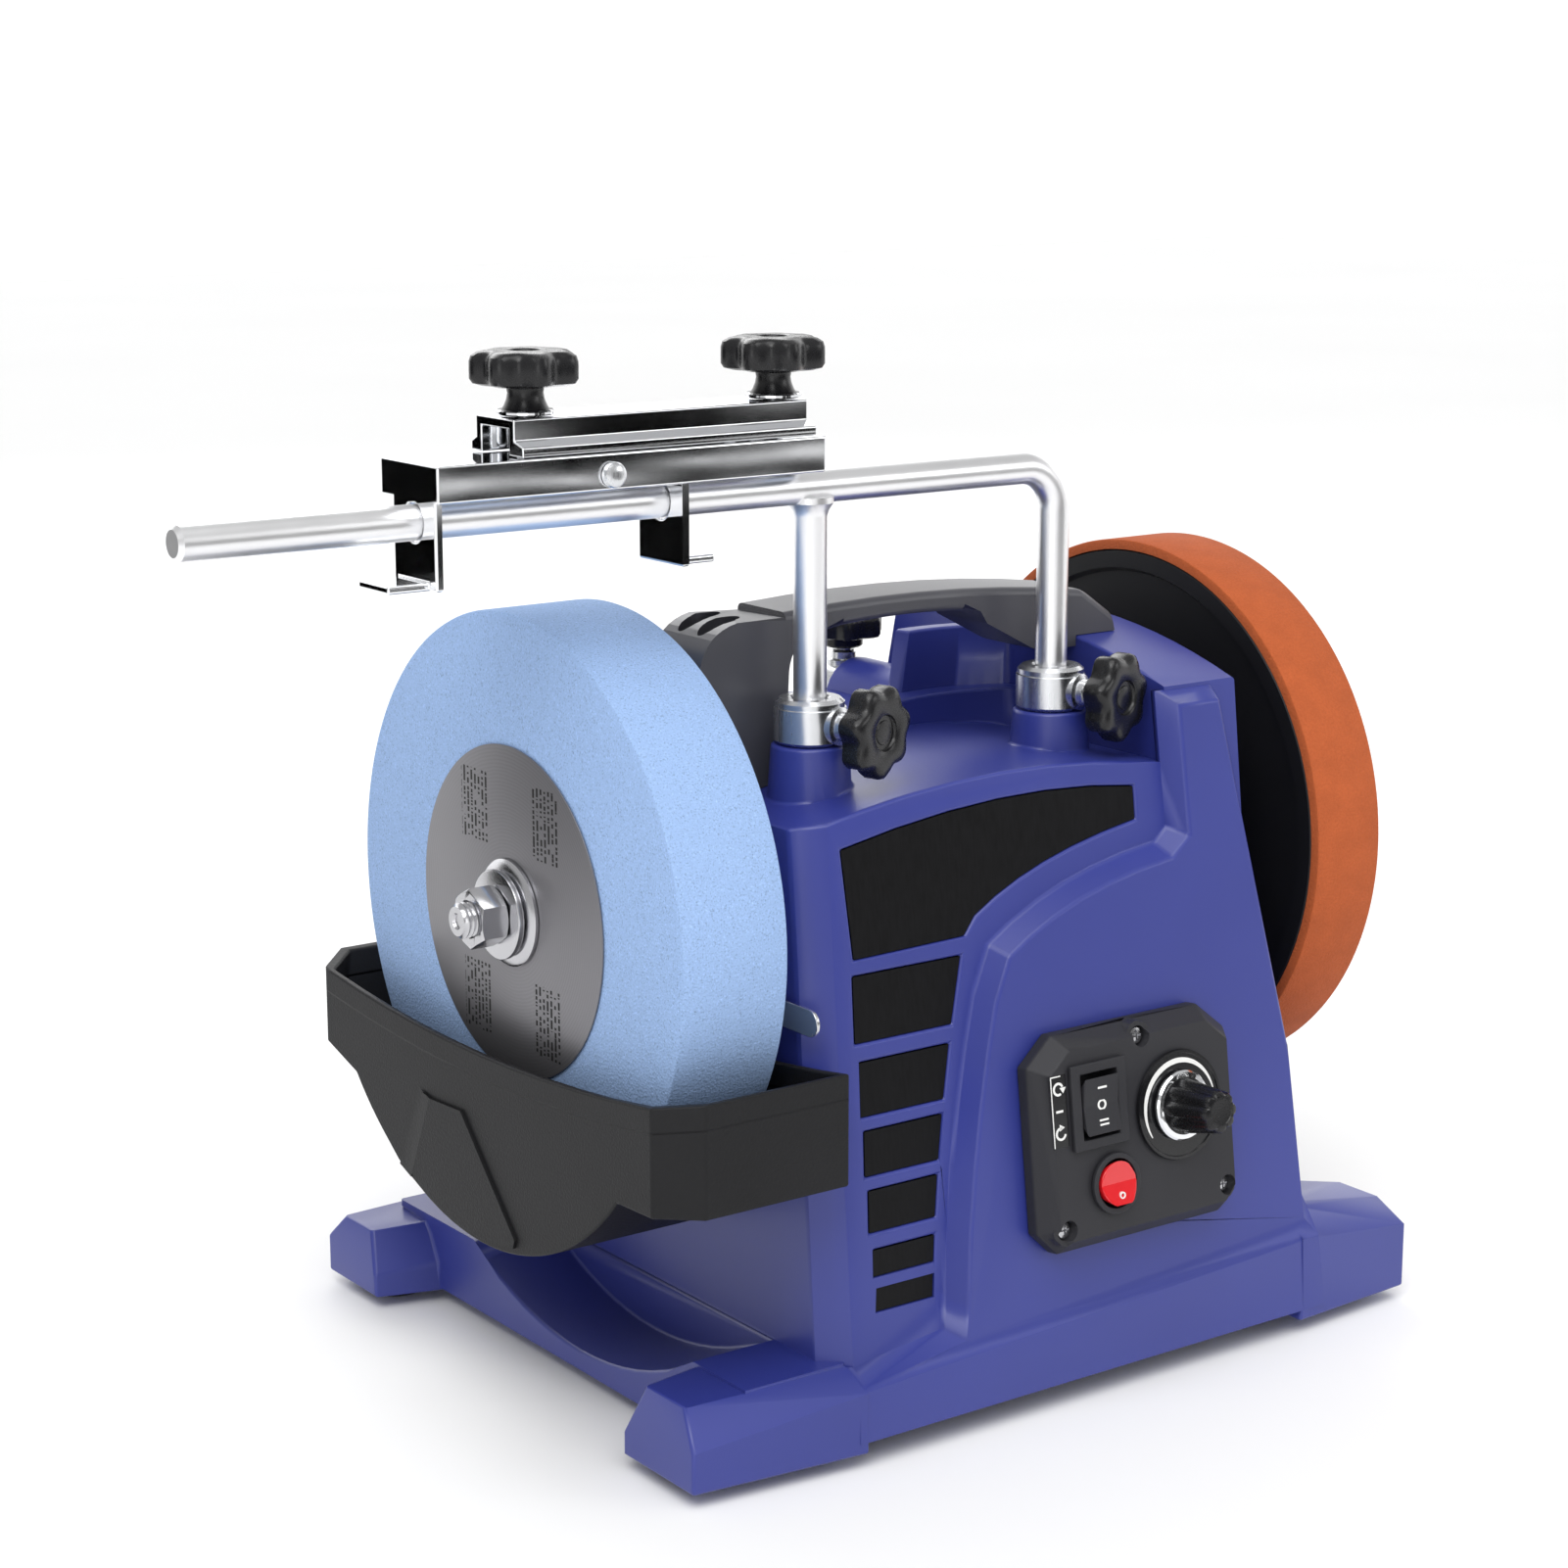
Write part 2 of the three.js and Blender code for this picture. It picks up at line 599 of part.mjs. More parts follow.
function spindle() {
  return join(
    bar('x', [SPINDLE_R - 1, SPINDLE_R], -172.4, -171, 0, SPINDLE_Z, 24),
    bar('x', SPINDLE_R, -171.1, 166, 0, SPINDLE_Z, 24),
  );
}

const WASHER_X = WHEEL_X[0] - 1.2;
add('spindle', spindle(), STEEL);
add('grinding_wheel', wheelBody(), STONE);
add('wheel_label', onSpindle(56, WHEEL_X[0] - 0.9, WHEEL_X[0] - GAP, 40), LABEL);
add('outer_flange', onSpindle(18, WASHER_X - 3, WASHER_X, 24), STEEL);
add('wheel_washer', onSpindle(15, WASHER_X - 5.5, WASHER_X - 3 - GAP, 24), STEEL);
add('wheel_nut', onSpindle(10.4, WASHER_X - 15.8, WASHER_X - 5.8, 6), STEEL);
add('inner_flange', onSpindle(30, WHEEL_X[1] + GAP, WHEEL_X[1] + 8), STEEL);

const HONE_CORE_R = HONE_R - HONE_BAND;
add('honing_wheel', onSpindle(HONE_CORE_R, ...HONE_X, 56), BLACK);
add('honing_band', tube('x', HONE_R, HONE_CORE_R + GAP, ...HONE_X, 0, SPINDLE_Z, 56), LEATHER);
add('honing_nut', onSpindle(13, HONE_X[1] + GAP, HONE_X[1] + 12, 8), BLACK);
add('honing_spacer', onSpindle(11, 101.5, HONE_X[0] - GAP, 20), STEEL);

const DRIVE_X = [68, 84];
add('drive_wheel', onSpindle(DRIVE_R - 3 - GAP, ...DRIVE_X, 36), BLACK);
add('drive_tyre', tube('x', DRIVE_R, DRIVE_R - 3, ...DRIVE_X, 0, SPINDLE_Z, 36), RUBBER);

// Ball bearings in their holders, each close behind a side wall.
const BEARING_R = 14;
const BEARING_X = { left: -86, right: 59 };
for (const [side, x] of Object.entries(BEARING_X)) {
  const reach = side === 'left' ? 0 : 20;
  const block = box(x - reach, x + 8, -22, 22, SPINDLE_Z - 24, SPINDLE_Z + 22);
  const recess = box(x - 21, x - 4, -18, 18, 150, 185);
  const bore = bar('x', BEARING_R + 2 * GAP, x - 40, x + 20, 0, SPINDLE_Z);
  add(`spindle_bearing_${side}`, onSpindle(BEARING_R, x, x + 8), STEEL);
  add(`bearing_holder_${side}`, cut(block, recess, bore), BLACK);
}

const MOTOR_Z = SPINDLE_Z - Math.sqrt((DRIVE_R + ROLLER_R + GAP) ** 2 - MOTOR_Y ** 2);
const MOTOR_X = [-38, 50];
const NOSE_X = 56;
const SHAFT_R = 3.4;
add('motor_casing', cut(
  join(
    bar('x', MOTOR_R, ...MOTOR_X, MOTOR_Y, MOTOR_Z, 32),
    bar('x', 12, MOTOR_X[1] - 1, NOSE_X, MOTOR_Y, MOTOR_Z, 24),
  ),
  bar('x', SHAFT_R + GAP, -20, NOSE_X + 1, MOTOR_Y, MOTOR_Z, 16),
), STEEL);
add('motor_shaft', bar('x', SHAFT_R, -18, DRIVE_X[1] + 2, MOTOR_Y, MOTOR_Z, 16), STEEL);
const ROLLER_X = [DRIVE_X[0] + 1, DRIVE_X[1] - 1];
add('drive_roller', tube('x', ROLLER_R, SHAFT_R + GAP, ...ROLLER_X, MOTOR_Y, MOTOR_Z), BRASS);
add('motor_cradle', cut(
  join(
    box(-34, 46, MOTOR_Y - 30, MOTOR_Y + 30, PLATE_Z[1] + GAP, PLATE_Z[1] + 4),
    box(-28, -20, MOTOR_Y - 26, MOTOR_Y + 26, PLATE_Z[1] + 3, MOTOR_Z - 12),
    box(32, 40, MOTOR_Y - 26, MOTOR_Y + 26, PLATE_Z[1] + 3, MOTOR_Z - 12),
  ),
  bar('x', MOTOR_R + GAP, -60, 60, MOTOR_Y, MOTOR_Z, 32),
), STEEL);

// ---------------------------------------------------------------- the control box and what it carries
const face = placed(PANEL_X, frontY(PANEL_Z) - PANEL_PROUD, PANEL_Z, [-LEAN_ANGLE, 0, 0]);
const ringAt = (points, y) => points.map(([x, z]) => [x, y, z]);

function controlBox() {
  const shell = loft([
    ringAt(BOX_OUTLINE, -GAP), ringAt(BOX_OUTLINE, -5), ringAt(inset(BOX_OUTLINE, 5), -BOX_DEEP),
  ], 0, 2);
  const inner = inset(BOX_OUTLINE, 3);
  const hollow = loft([
    ringAt(inner, 1), ringAt(inner, -4), ringAt(inset(BOX_OUTLINE, 7.5), -9.4),
  ], 0, 2);
  const pillars = BOX_SCREWS.map(([x, z]) => bar('y', 5.4, -10, -GAP, x, z, 12));
  return cut(
    join(cut(shell, hollow), ...pillars),
    ...BOX_SCREWS.map(([x, z]) => bar('y', 3.6, -13, -7, x, z, 16)),
    ...BOX_SCREWS.map(([x, z]) => bar('y', 2, -13, 1, x, z, 12)),
    box(ROCKER.x[0] + 2, ROCKER.x[1] - 2, -13, 1, ROCKER.z[0] + 2, ROCKER.z[1] - 2),
    bar('y', POWER.r - 1, -13, 1, POWER.x, POWER.z),
    bar('y', 4.5, -13, 1, DIAL.x, DIAL.z, 16),
  );
}

// A rocker cap that turns about the local X axis through its own middle.
function rockerCap(x0, x1, z0, z1, tilt) {
  const mid = (z0 + z1) / 2;
  const half = (z1 - z0) / 2;
  const shape = flat([
    [-11.5, mid - half * 0.5], [-15.6, mid - half], [-14.4, mid],
    [-15.6, mid + half], [-11.5, mid + half * 0.5],
  ]);
  const cap = sweep('x', shape, x0, x1);
  return cap.translate([0, 12, -mid]).rotate([tilt, 0, 0]).translate([0, -12, mid]);
}

add('control_box', controlBox(), BLACK, face);
BOX_SCREWS.forEach(([x, z], i) => {
  add(`control_screw_${i + 1}`, join(
    bar('y', 3.2, -9.4, -7 - GAP, x, z, 16),
    bar('y', 1.6, -7.5, 3, x, z, 10),
  ), STEEL, face);
});

const [frameX0, frameX1] = ROCKER.x;
const [frameZ0, frameZ1] = ROCKER.z;
add('direction_switch_frame', cut(
  join(
    box(frameX0, frameX1, -14, -BOX_DEEP - GAP, frameZ0, frameZ1),
    box(frameX0 + 2.4, frameX1 - 2.4, -13, 12, frameZ0 + 2.4, frameZ1 - 2.4),
  ),
  box(frameX0 + 4, frameX1 - 4, -20, -5, frameZ0 + 3.4, frameZ1 - 3.4),
), BLACK, face);
add('direction_rocker', rockerCap(
  frameX0 + 4.4, frameX1 - 4.4, frameZ0 + 4.6, frameZ1 - 4.6, 0,
), BLACK, face);

add('power_switch_bezel', cut(
  join(
    bar('y', POWER.r, -14, -BOX_DEEP - GAP, POWER.x, POWER.z, 32),
    bar('y', POWER.r - 1.4, -13, 12, POWER.x, POWER.z, 32),
  ),
  bar('y', POWER.r - 2, -20, -5, POWER.x, POWER.z, 32),
), BLACK, face);
add('power_rocker', rockerCap(
  POWER.x - 8, POWER.x + 8, POWER.z - 7.4, POWER.z + 7.4, -8,
).intersect(bar('y', POWER.r - 2.8, -22, 0, POWER.x, POWER.z, 32)), RED, face);

const PLATE_Y = -BOX_DEEP - 1.6;
add('dial_plate', tube('y', DIAL.r, 4.5, PLATE_Y, -BOX_DEEP - GAP, DIAL.x, DIAL.z, 32), BLACK, face);
add('speed_potentiometer', cut(
  bar('y', 8, -9, 4, DIAL.x, DIAL.z, 24),
  bar('y', 3.3, -10, 0, DIAL.x, DIAL.z, 16),
), STEEL, face);
add('speed_knob', join(
  bar('y', 12, -16, PLATE_Y - GAP, DIAL.x, DIAL.z, 32),
  bar('y', [7.2, 9.4], -34, -15, DIAL.x, DIAL.z, 20),
  bar('y', 3, -16, -1, DIAL.x, DIAL.z, 12),
), BLACK, face);
add('control_board', box(-30, 36, 14, 15.6, -30, 30), BOARD, face);

const INLET_Y = rearY(72);
add('power_inlet', cut(
  box(-90, -54, INLET_Y - 8, INLET_Y + 1.5, 57, 87),
  box(-84, -60, INLET_Y - 5, INLET_Y + 4, 63, 81),
), BLACK);

// ---------------------------------------------------------------- water trough and its latch
function troughProfile(t) {
  const r = TROUGH_R - t;
  const shape = new THREE.Shape();
  const front = -116 + t;
  const rear = 119 - t;
  const floor = 96 + t;
  const angle = Math.acos((SPINDLE_Z - floor) / r);
  shape.moveTo(front, 150);
  shape.lineTo(front, floor + 1);
  shape.absarc(0, SPINDLE_Z, r, -Math.PI / 2 - angle, -Math.PI / 2 + angle, false);
  shape.lineTo(rear - 9, floor + 8);
  shape.lineTo(rear, floor + 34);
  shape.lineTo(rear, 150);
  return shape;
}

function troughSolid(t, rim) {
  const [x0, x1] = [TROUGH_X[0] + t, TROUGH_X[1] - t];
  const [f, b] = [-116 + t, 119 - t];
  const plan = [[x0, f + 12], [x0 + 12, f], [x1, f], [x1, b], [x0 + 14, b], [x0, b - 14]];
  const options = { depth: x1 - x0, bevelEnabled: false, curveSegments: 20 };
  const swept = new THREE.ExtrudeGeometry(troughProfile(t), options);
  swept.rotateX(Math.PI / 2).rotateZ(Math.PI / 2).translate(x0, 0, 0);
  const outline = sweep('z', flat(plan), 40, 160);
  return solid(swept).intersect(outline).intersect(rim);
}

function trough() {
  const rimLine = [[-140, 0], [140, 0], [140, TROUGH_RIM_Z]];
  for (let y = 120; y >= -120; y -= 20) {
    rimLine.push([y, TROUGH_RIM_Z - 10 * (1 - ((y - 10) / 125) ** 2)]);
  }
  rimLine.push([-140, TROUGH_RIM_Z]);
  const under = sweep('x', flat(rimLine), -200, -60);
  return cut(troughSolid(0, under), troughSolid(TROUGH_WALL, box(-200, -60, -200, 200, 0, 160)));
}

add('water_trough', trough(), BLACK);

const LATCH = { x: [-98.6, -97.2], y: [-98, -62], z: [140.5, 149.5], pivot: -68 };
const LATCH_MID = (LATCH.z[0] + LATCH.z[1]) / 2;
add('trough_latch', cut(
  join(
    box(...LATCH.x, LATCH.y[0] + 4.5, LATCH.y[1] - 4.5, ...LATCH.z),
    bar('x', 4.5, ...LATCH.x, LATCH.y[0] + 4.5, LATCH_MID, 20),
    bar('x', 4.5, ...LATCH.x, LATCH.y[1] - 4.5, LATCH_MID, 20),
  ),
  bar('x', 2.4, LATCH.x[0] - 1, LATCH.x[1] + 1, LATCH.pivot, LATCH_MID, 12),
), STEEL);
add('latch_screw', join(
  bar('x', 4, LATCH.x[0] - 2.5, LATCH.x[0] - GAP, LATCH.pivot, LATCH_MID, 16),
  bar('x', 2, LATCH.x[0] - 1, leftX(145) - GAP, LATCH.pivot, LATCH_MID, 12),
), STEEL);

// ---------------------------------------------------------------- origin under the middle of the footprint
machine.updateMatrixWorld(true);
const extent = new THREE.Box3().setFromObject(machine, true);
const middle = extent.getCenter(new THREE.Vector3());
machine.position.set(-middle.x, -middle.y, -extent.min.z);

export default machine;
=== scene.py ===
import json
import math

import bmesh
import bpy
from mathutils import Matrix, Vector


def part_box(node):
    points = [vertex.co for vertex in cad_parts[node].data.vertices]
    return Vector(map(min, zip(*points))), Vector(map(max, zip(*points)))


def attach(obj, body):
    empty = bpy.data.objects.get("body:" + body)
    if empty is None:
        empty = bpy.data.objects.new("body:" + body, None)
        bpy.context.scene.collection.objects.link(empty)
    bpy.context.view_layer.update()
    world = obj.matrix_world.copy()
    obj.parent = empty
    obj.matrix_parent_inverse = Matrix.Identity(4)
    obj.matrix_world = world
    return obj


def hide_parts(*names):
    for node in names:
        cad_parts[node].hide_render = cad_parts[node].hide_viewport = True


bl_info = {
    "name": "Wet Grinding Sharpener",
    "version": (1, 0, 0),
    "blender": (4, 5, 0),
    "location": "View3D > Sidebar > Sharpener",
    "description": "Builds the finished pieces of a two-wheel wet grinding sharpener",
    "category": "Add Mesh",
}

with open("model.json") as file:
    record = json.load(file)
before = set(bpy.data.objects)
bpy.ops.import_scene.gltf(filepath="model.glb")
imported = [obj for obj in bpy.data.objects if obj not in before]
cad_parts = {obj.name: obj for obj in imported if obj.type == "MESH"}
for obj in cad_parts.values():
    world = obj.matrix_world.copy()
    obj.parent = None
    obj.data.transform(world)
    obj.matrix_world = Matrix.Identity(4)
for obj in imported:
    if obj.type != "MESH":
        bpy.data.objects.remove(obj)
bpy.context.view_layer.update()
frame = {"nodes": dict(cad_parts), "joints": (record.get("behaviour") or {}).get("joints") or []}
MM = 0.001


# ---- places taken from the frame
class Span:
    """The box of one CAD node at rest."""

    def __init__(self, node):
        self.low, self.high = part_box(node)
        self.mid = (self.low + self.high) / 2
        self.size = self.high - self.low

    def holds(self, point):
        """Whether a point lies in the box, or just outside it."""
        near = 1.5 * MM
        return all(low - near < one < high + near for low, one, high in zip(self.low, point, self.high))


def joint(name):
    """A joint of the machine by its name."""
    return next(one for one in frame["joints"] if one["name"] == name)


def along(origin, direction):
    """A frame at origin whose Z points along direction."""
    turn = Vector(direction).to_track_quat("Z", "Y").to_matrix().to_4x4()
    return Matrix.Translation(Vector(origin)) @ turn


SPINDLE = Span("spindle")
WHEEL = Span("grinding_wheel")
AXIS_Y = WHEEL.mid.y
AXIS_Z = WHEEL.mid.z
RIGHTWARDS = along((0, AXIS_Y, AXIS_Z), (1, 0, 0))


def panel_frame():
    """The leaning front of the control box: X to the right, Z up the face, -Y out of it."""
    dial = joint("speed_turn")
    out = Vector(dial["axis"])
    right = Vector((1, 0, 0))
    up = right.cross(-out)
    turn = Matrix((right, -out, up)).transposed().to_4x4()
    return Matrix.Translation(Vector(dial["pos_m"])) @ turn


# The middle of the speed dial is the origin of this frame, on the raised panel's surface.
PANEL = panel_frame()


# ---- what a user may change
def linear(red, green, blue):
    """Screen values from 0 to 255 as linear ones."""
    def one(value):
        share = value / 255
        return share / 12.92 if share <= 0.04045 else ((share + 0.055) / 1.055) ** 2.4
    return (one(red), one(green), one(blue))


def length(name, description, default):
    return bpy.props.FloatProperty(
        name=name, description=description, default=default, min=0.0,
        subtype="DISTANCE", unit="LENGTH",
    )


def colour(name, description, default):
    return bpy.props.FloatVectorProperty(
        name=name, description=description, default=default, size=3,
        min=0.0, max=1.0, subtype="COLOR",
    )


class SharpenerSizes(bpy.types.PropertyGroup):
    housing_edge: length("Housing Edge", "Rounding of the housing's edges", 1.2 * MM)
    handle_edge: length("Handle Edge", "Rounding of the carrying handle's edges", 2.6 * MM)
    plate_edge: length("Plate Edge", "Rounding of bent sheet metal", 0.5 * MM)
    trough_edge: length("Trough Edge", "Rounding of the trough's edges", 0.9 * MM)
    thread_pitch: length("Thread Pitch", "Pitch of the spindle's thread", 1.75 * MM)
    grit: length("Grit", "Grain size of the grinding wheel", 0.9 * MM)


class SharpenerColours(bpy.types.PropertyGroup):
    housing: colour("Housing", "Moulded housing", linear(48, 57, 136))
    # The lighter blue of the housing's rounded edges is a painted highlight.
    housing_edge: colour("Housing Edges", "Light catching the housing's edges", linear(74, 84, 172))
    plastic: colour("Black Plastic", "Handle and knobs", linear(30, 30, 33))
    trough: colour("Trough", "Water trough", linear(25, 25, 27))
    panel: colour("Panel", "Control box", linear(44, 44, 48))
    stone: colour("Stone", "Grinding wheel", linear(152, 180, 222))
    label: colour("Wheel Label", "Foil label of the wheel", linear(128, 127, 131))
    leather: colour("Leather", "Honing band", linear(186, 92, 48))
    red: colour("Red", "Power rocker", linear(214, 26, 34))


def sizes():
    """The sizes as they are set now."""
    return bpy.context.scene.sharpener_sizes


# ---- mesh work
def deselect():
    if bpy.context.mode != "OBJECT":
        bpy.ops.object.mode_set(mode="OBJECT")
    bpy.ops.object.select_all(action="DESELECT")


def take(piece):
    """Makes a piece the only one selected."""
    deselect()
    piece.select_set(True)
    bpy.context.view_layer.objects.active = piece
    return piece


def edit(piece):
    take(piece)
    bpy.ops.object.mode_set(mode="EDIT")
    bpy.ops.mesh.select_mode(type="VERT")
    bpy.ops.mesh.select_all(action="SELECT")


def leave():
    bpy.ops.object.mode_set(mode="OBJECT")


def named(name):
    """The primitive that was just added, under its own name."""
    piece = bpy.context.active_object
    piece.name = name
    piece.data.name = name
    return piece


def settle(piece, matrix):
    """Puts a piece at its place and lets its mesh hold that place."""
    take(piece)
    piece.matrix_world = matrix @ piece.matrix_world
    bpy.ops.object.transform_apply(location=True, rotation=True, scale=True)
    return piece


def modified(piece, kind, **settings):
    take(piece)
    modifier = piece.modifiers.new(kind.title(), kind)
    for key, value in settings.items():
        setattr(modifier, key, value)
    bpy.ops.object.modifier_apply(modifier=modifier.name)
    return piece


def smooth(piece, degrees=32):
    take(piece)
    bpy.ops.object.shade_smooth_by_angle(angle=math.radians(degrees))
    return piece


def rounded(
    piece, width, degrees, segments=3, edge_material=-1, shortest=0.0, room=2.4, apart=None,
):
    """Rounds the edges sharper than the angle, where all the edges around leave room.

    Room is counted in widths. Edges in the box called apart, and those shorter than
    the shortest, stay sharp. The facets are shaded smooth, and flat faces stay flat.
    """
    mesh = bmesh.new()
    mesh.from_mesh(piece.data)
    weight = mesh.edges.layers.float.new("bevel_weight_edge")
    for one in mesh.edges:
        sharp = one.is_manifold and one.calc_face_angle() > math.radians(degrees)
        around = [near.calc_length() for end in one.verts for near in end.link_edges]
        fits = min(around) > room * width and one.calc_length() >= shortest
        if apart and all(apart.holds(end.co) for end in one.verts):
            fits = False
        one[weight] = 1.0 if sharp and fits else 0.0
    mesh.to_mesh(piece.data)
    mesh.free()
    modified(
        piece, "BEVEL", width=width, segments=segments, limit_method="WEIGHT",
        use_clamp_overlap=False, material=edge_material,
    )
    facet_turn = 90 / segments + 1.2
    smooth(piece, max(degrees, facet_turn))
    return modified(piece, "WEIGHTED_NORMAL", keep_sharp=True, weight=80)


def outward(piece):
    """Merges doubles and points every face out."""
    edit(piece)
    bpy.ops.mesh.remove_doubles(threshold=1e-6)
    bpy.ops.mesh.normals_make_consistent(inside=False)
    leave()
    return piece


def refined(node, name, flatten=0.5):
    """A copy of a CAD node with the triangles of each flat face merged."""
    take(frame["nodes"][node])
    bpy.ops.object.duplicate()
    piece = named(name)
    piece.parent = None
    for key in list(piece.keys()):
        del piece[key]
    edit(piece)
    bpy.ops.mesh.remove_doubles(threshold=0.02 * MM)
    bpy.ops.mesh.dissolve_limited(angle_limit=math.radians(flatten))
    leave()
    piece.data.materials.clear()
    return piece


def in_mm(*steps):
    """The (radius, height) steps of a profile, given in millimetres."""
    return [(radius * MM, height * MM) for radius, height in steps]


def draw_out(step):
    """Extrudes what is selected by a step."""
    bpy.ops.mesh.extrude_region_move(TRANSFORM_OT_translate={"value": step})


def turned(name, profile, matrix=Matrix.Identity(4), sides=96):
    """A round piece: a circle drawn out along Z through (radius, height) steps, then placed.

    A profile that ends where it starts is a ring, and any other one is filled at both ends.
    """
    radius, height = profile[0]
    deselect()
    bpy.ops.mesh.primitive_circle_add(
        vertices=sides, radius=radius, fill_type="NOTHING", location=(0, 0, height),
    )
    piece = named(name)
    bpy.ops.object.transform_apply(location=True)
    edit(piece)
    if profile[0] != profile[-1]:
        bpy.ops.mesh.edge_face_add()
    for new_radius, new_height in profile[1:]:
        draw_out((0, 0, new_height - height))
        share = new_radius / radius
        bpy.ops.transform.resize(value=(share, share, 1), center_override=(0, 0, new_height))
        radius, height = new_radius, new_height
    leave()
    outward(piece)
    return settle(piece, matrix)


def drawn(name, corners, sweep):
    """A solid whose outline is drawn corner by corner, filled and swept."""
    corners = [Vector(corner) for corner in corners]
    deselect()
    bpy.ops.mesh.primitive_plane_add(size=MM, location=(0, 0, 0))
    piece = named(name)
    edit(piece)
    bpy.ops.mesh.merge(type="CENTER")
    bpy.ops.transform.translate(value=corners[0])
    for before, after in zip(corners, corners[1:]):
        draw_out(after - before)
    bpy.ops.mesh.select_all(action="SELECT")
    bpy.ops.mesh.edge_face_add()
    draw_out(Vector(sweep))
    leave()
    return outward(piece)


def boolean(piece, tool, operation):
    """Cuts, joins or crosses a piece with another one, which is used up."""
    modified(piece, "BOOLEAN", object=tool, operation=operation, solver="EXACT")
    take(tool)
    bpy.ops.object.delete()
    return piece


def joined(piece, *others):
    take(piece)
    for other in others:
        other.select_set(True)
    bpy.ops.object.join()
    return piece


def copied(piece, name):
    """A second one of a piece, with a mesh of its own."""
    take(piece)
    bpy.ops.object.duplicate()
    return named(name)


def paint(piece, test):
    """Gives the faces that pass the test, by their middle, the piece's second material."""
    for face in piece.data.polygons:
        if test(face.center):
            face.material_index = 1


def coat(piece, *finishes):
    """Gives a piece the finishes of these names."""
    piece.data.materials.clear()
    for finish in finishes:
        piece.data.materials.append(MATERIALS[finish])
    return piece


def place(piece, body, node):
    """Names the body a finished piece moves with, its finish and the CAD node it stands for."""
    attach(piece, body)
    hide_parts(node)


def rounded_copy(node, name, width, degrees, finish, **more):
    """A CAD node's copy with its edges rounded and its finish on."""
    return coat(rounded(refined(node, name), width, degrees, **more), finish)


# ---- materials
class Value:
    """A socket of a material; an expression on it adds Math nodes."""

    def __init__(self, finish, socket):
        self.finish = finish
        self.socket = socket

    def math(self, operation, first, second):
        return self.finish.node("Math", {"operation": operation}, {0: first, 1: second})

    def __add__(self, other):
        return self.math("ADD", self, other)

    __radd__ = __add__

    def __sub__(self, other):
        return self.math("SUBTRACT", self, other)

    def __rsub__(self, other):
        return self.math("SUBTRACT", other, self)

    def __mul__(self, other):
        return self.math("MULTIPLY", self, other)

    __rmul__ = __mul__

    def __truediv__(self, other):
        return self.math("DIVIDE", self, other)

    def __gt__(self, other):
        return self.math("GREATER_THAN", self, other)

    def __lt__(self, other):
        return self.math("LESS_THAN", self, other)

    def __abs__(self):
        return self.math("ABSOLUTE", self, 0)


class Finish:
    """One material. Constants sit on the shader's own sockets."""

    def __init__(self, name, **constants):
        self.material = bpy.data.materials.new(name)
        self.material.use_nodes = True
        self.tree = self.material.node_tree
        self.shader = self.tree.nodes["Principled BSDF"]
        for key, value in constants.items():
            self.feed(self.shader.inputs[key.replace("_", " ")], value)
        self.spot = self.node("TexCoord", output="Object")

    def feed(self, socket, value):
        if isinstance(value, Value):
            self.tree.links.new(value.socket, socket)
        elif hasattr(value, "__len__") and len(value) == 3 and socket.type == "RGBA":
            socket.default_value = (*value, 1)
        else:
            socket.default_value = value

    def node(self, kind, settings=None, sockets=None, stops=None, output=0):
        """Any node: its settings and stops first, then what its sockets hold."""
        made = self.tree.nodes.new("ShaderNode" + kind)
        for key, value in (settings or {}).items():
            setattr(made, key, value)
        for element, (position, tone) in zip(made.color_ramp.elements if stops else (), stops or ()):
            element.position = position
            element.color = (*tone, 1)
        for key, value in (sockets or {}).items():
            self.feed(made.inputs[key], value)
        return Value(self, made.outputs[output])

    def noise(self, size, detail=2.0, stretch=None):
        """Soft noise from 0 to 1 whose grains are about size across."""
        spot = self.spot
        if stretch:
            spot = self.node("Mapping", sockets={"Vector": spot, "Scale": stretch})
        sockets = {"Vector": spot, "Scale": 1 / size, "Detail": detail}
        return self.node("TexNoise", sockets=sockets)

    def mix(self, share, first, second):
        sockets = {"Factor": share, 6: first, 7: second}
        return self.node("Mix", {"data_type": "RGBA"}, sockets, output=2)

    def axes(self):
        apart = self.node("SeparateXYZ", sockets={0: self.spot})
        parts = apart.socket.node.outputs
        return [Value(self, parts[index]) for index in range(3)]

    def set(self, **values):
        for key, value in values.items():
            self.feed(self.shader.inputs[key.replace("_", " ")], value)
        return self

    def bump(self, height, distance, strength=1.0):
        sockets = {"Height": height, "Distance": distance, "Strength": strength}
        return self.set(Normal=self.node("Bump", sockets=sockets))


def shade(tone, factor):
    return tuple(min(1.0, part * factor) for part in tone)


def moulded(name, tone, roughness, grain, depth, **more):
    """Moulded plastic: fine grain, its size and depth in millimetres, flow marks, uneven gloss."""
    finish = Finish(name, **more)
    flow = finish.noise(60 * MM, 3.0)
    grains = finish.noise(grain * MM, 1.0)
    finish.set(
        Base_Color=finish.mix(flow, shade(tone, 0.9), shade(tone, 1.1)),
        Roughness=roughness - 0.05 + flow * 0.06 + grains * 0.06,
    )
    return finish.bump(grains, depth * MM).material


def metal(name, tone, roughness, brush=None):
    """Bright metal: smudges in the gloss and, where brush says, fine drawn lines."""
    smudge = 0.06
    depth = 0.004 * MM
    finish = Finish(name, Metallic=1.0)
    cloud = finish.noise(18 * MM, 4.0)
    lines = finish.noise(1.2 * MM, 2.0, brush or (1, 1, 1))
    finish.set(
        Base_Color=finish.mix(cloud, shade(tone, 0.94), shade(tone, 1.04)),
        Roughness=roughness - smudge / 2 + cloud * smudge + lines * (0.05 if brush else 0.01),
    )
    return finish.bump(lines, depth if brush else depth / 4).material


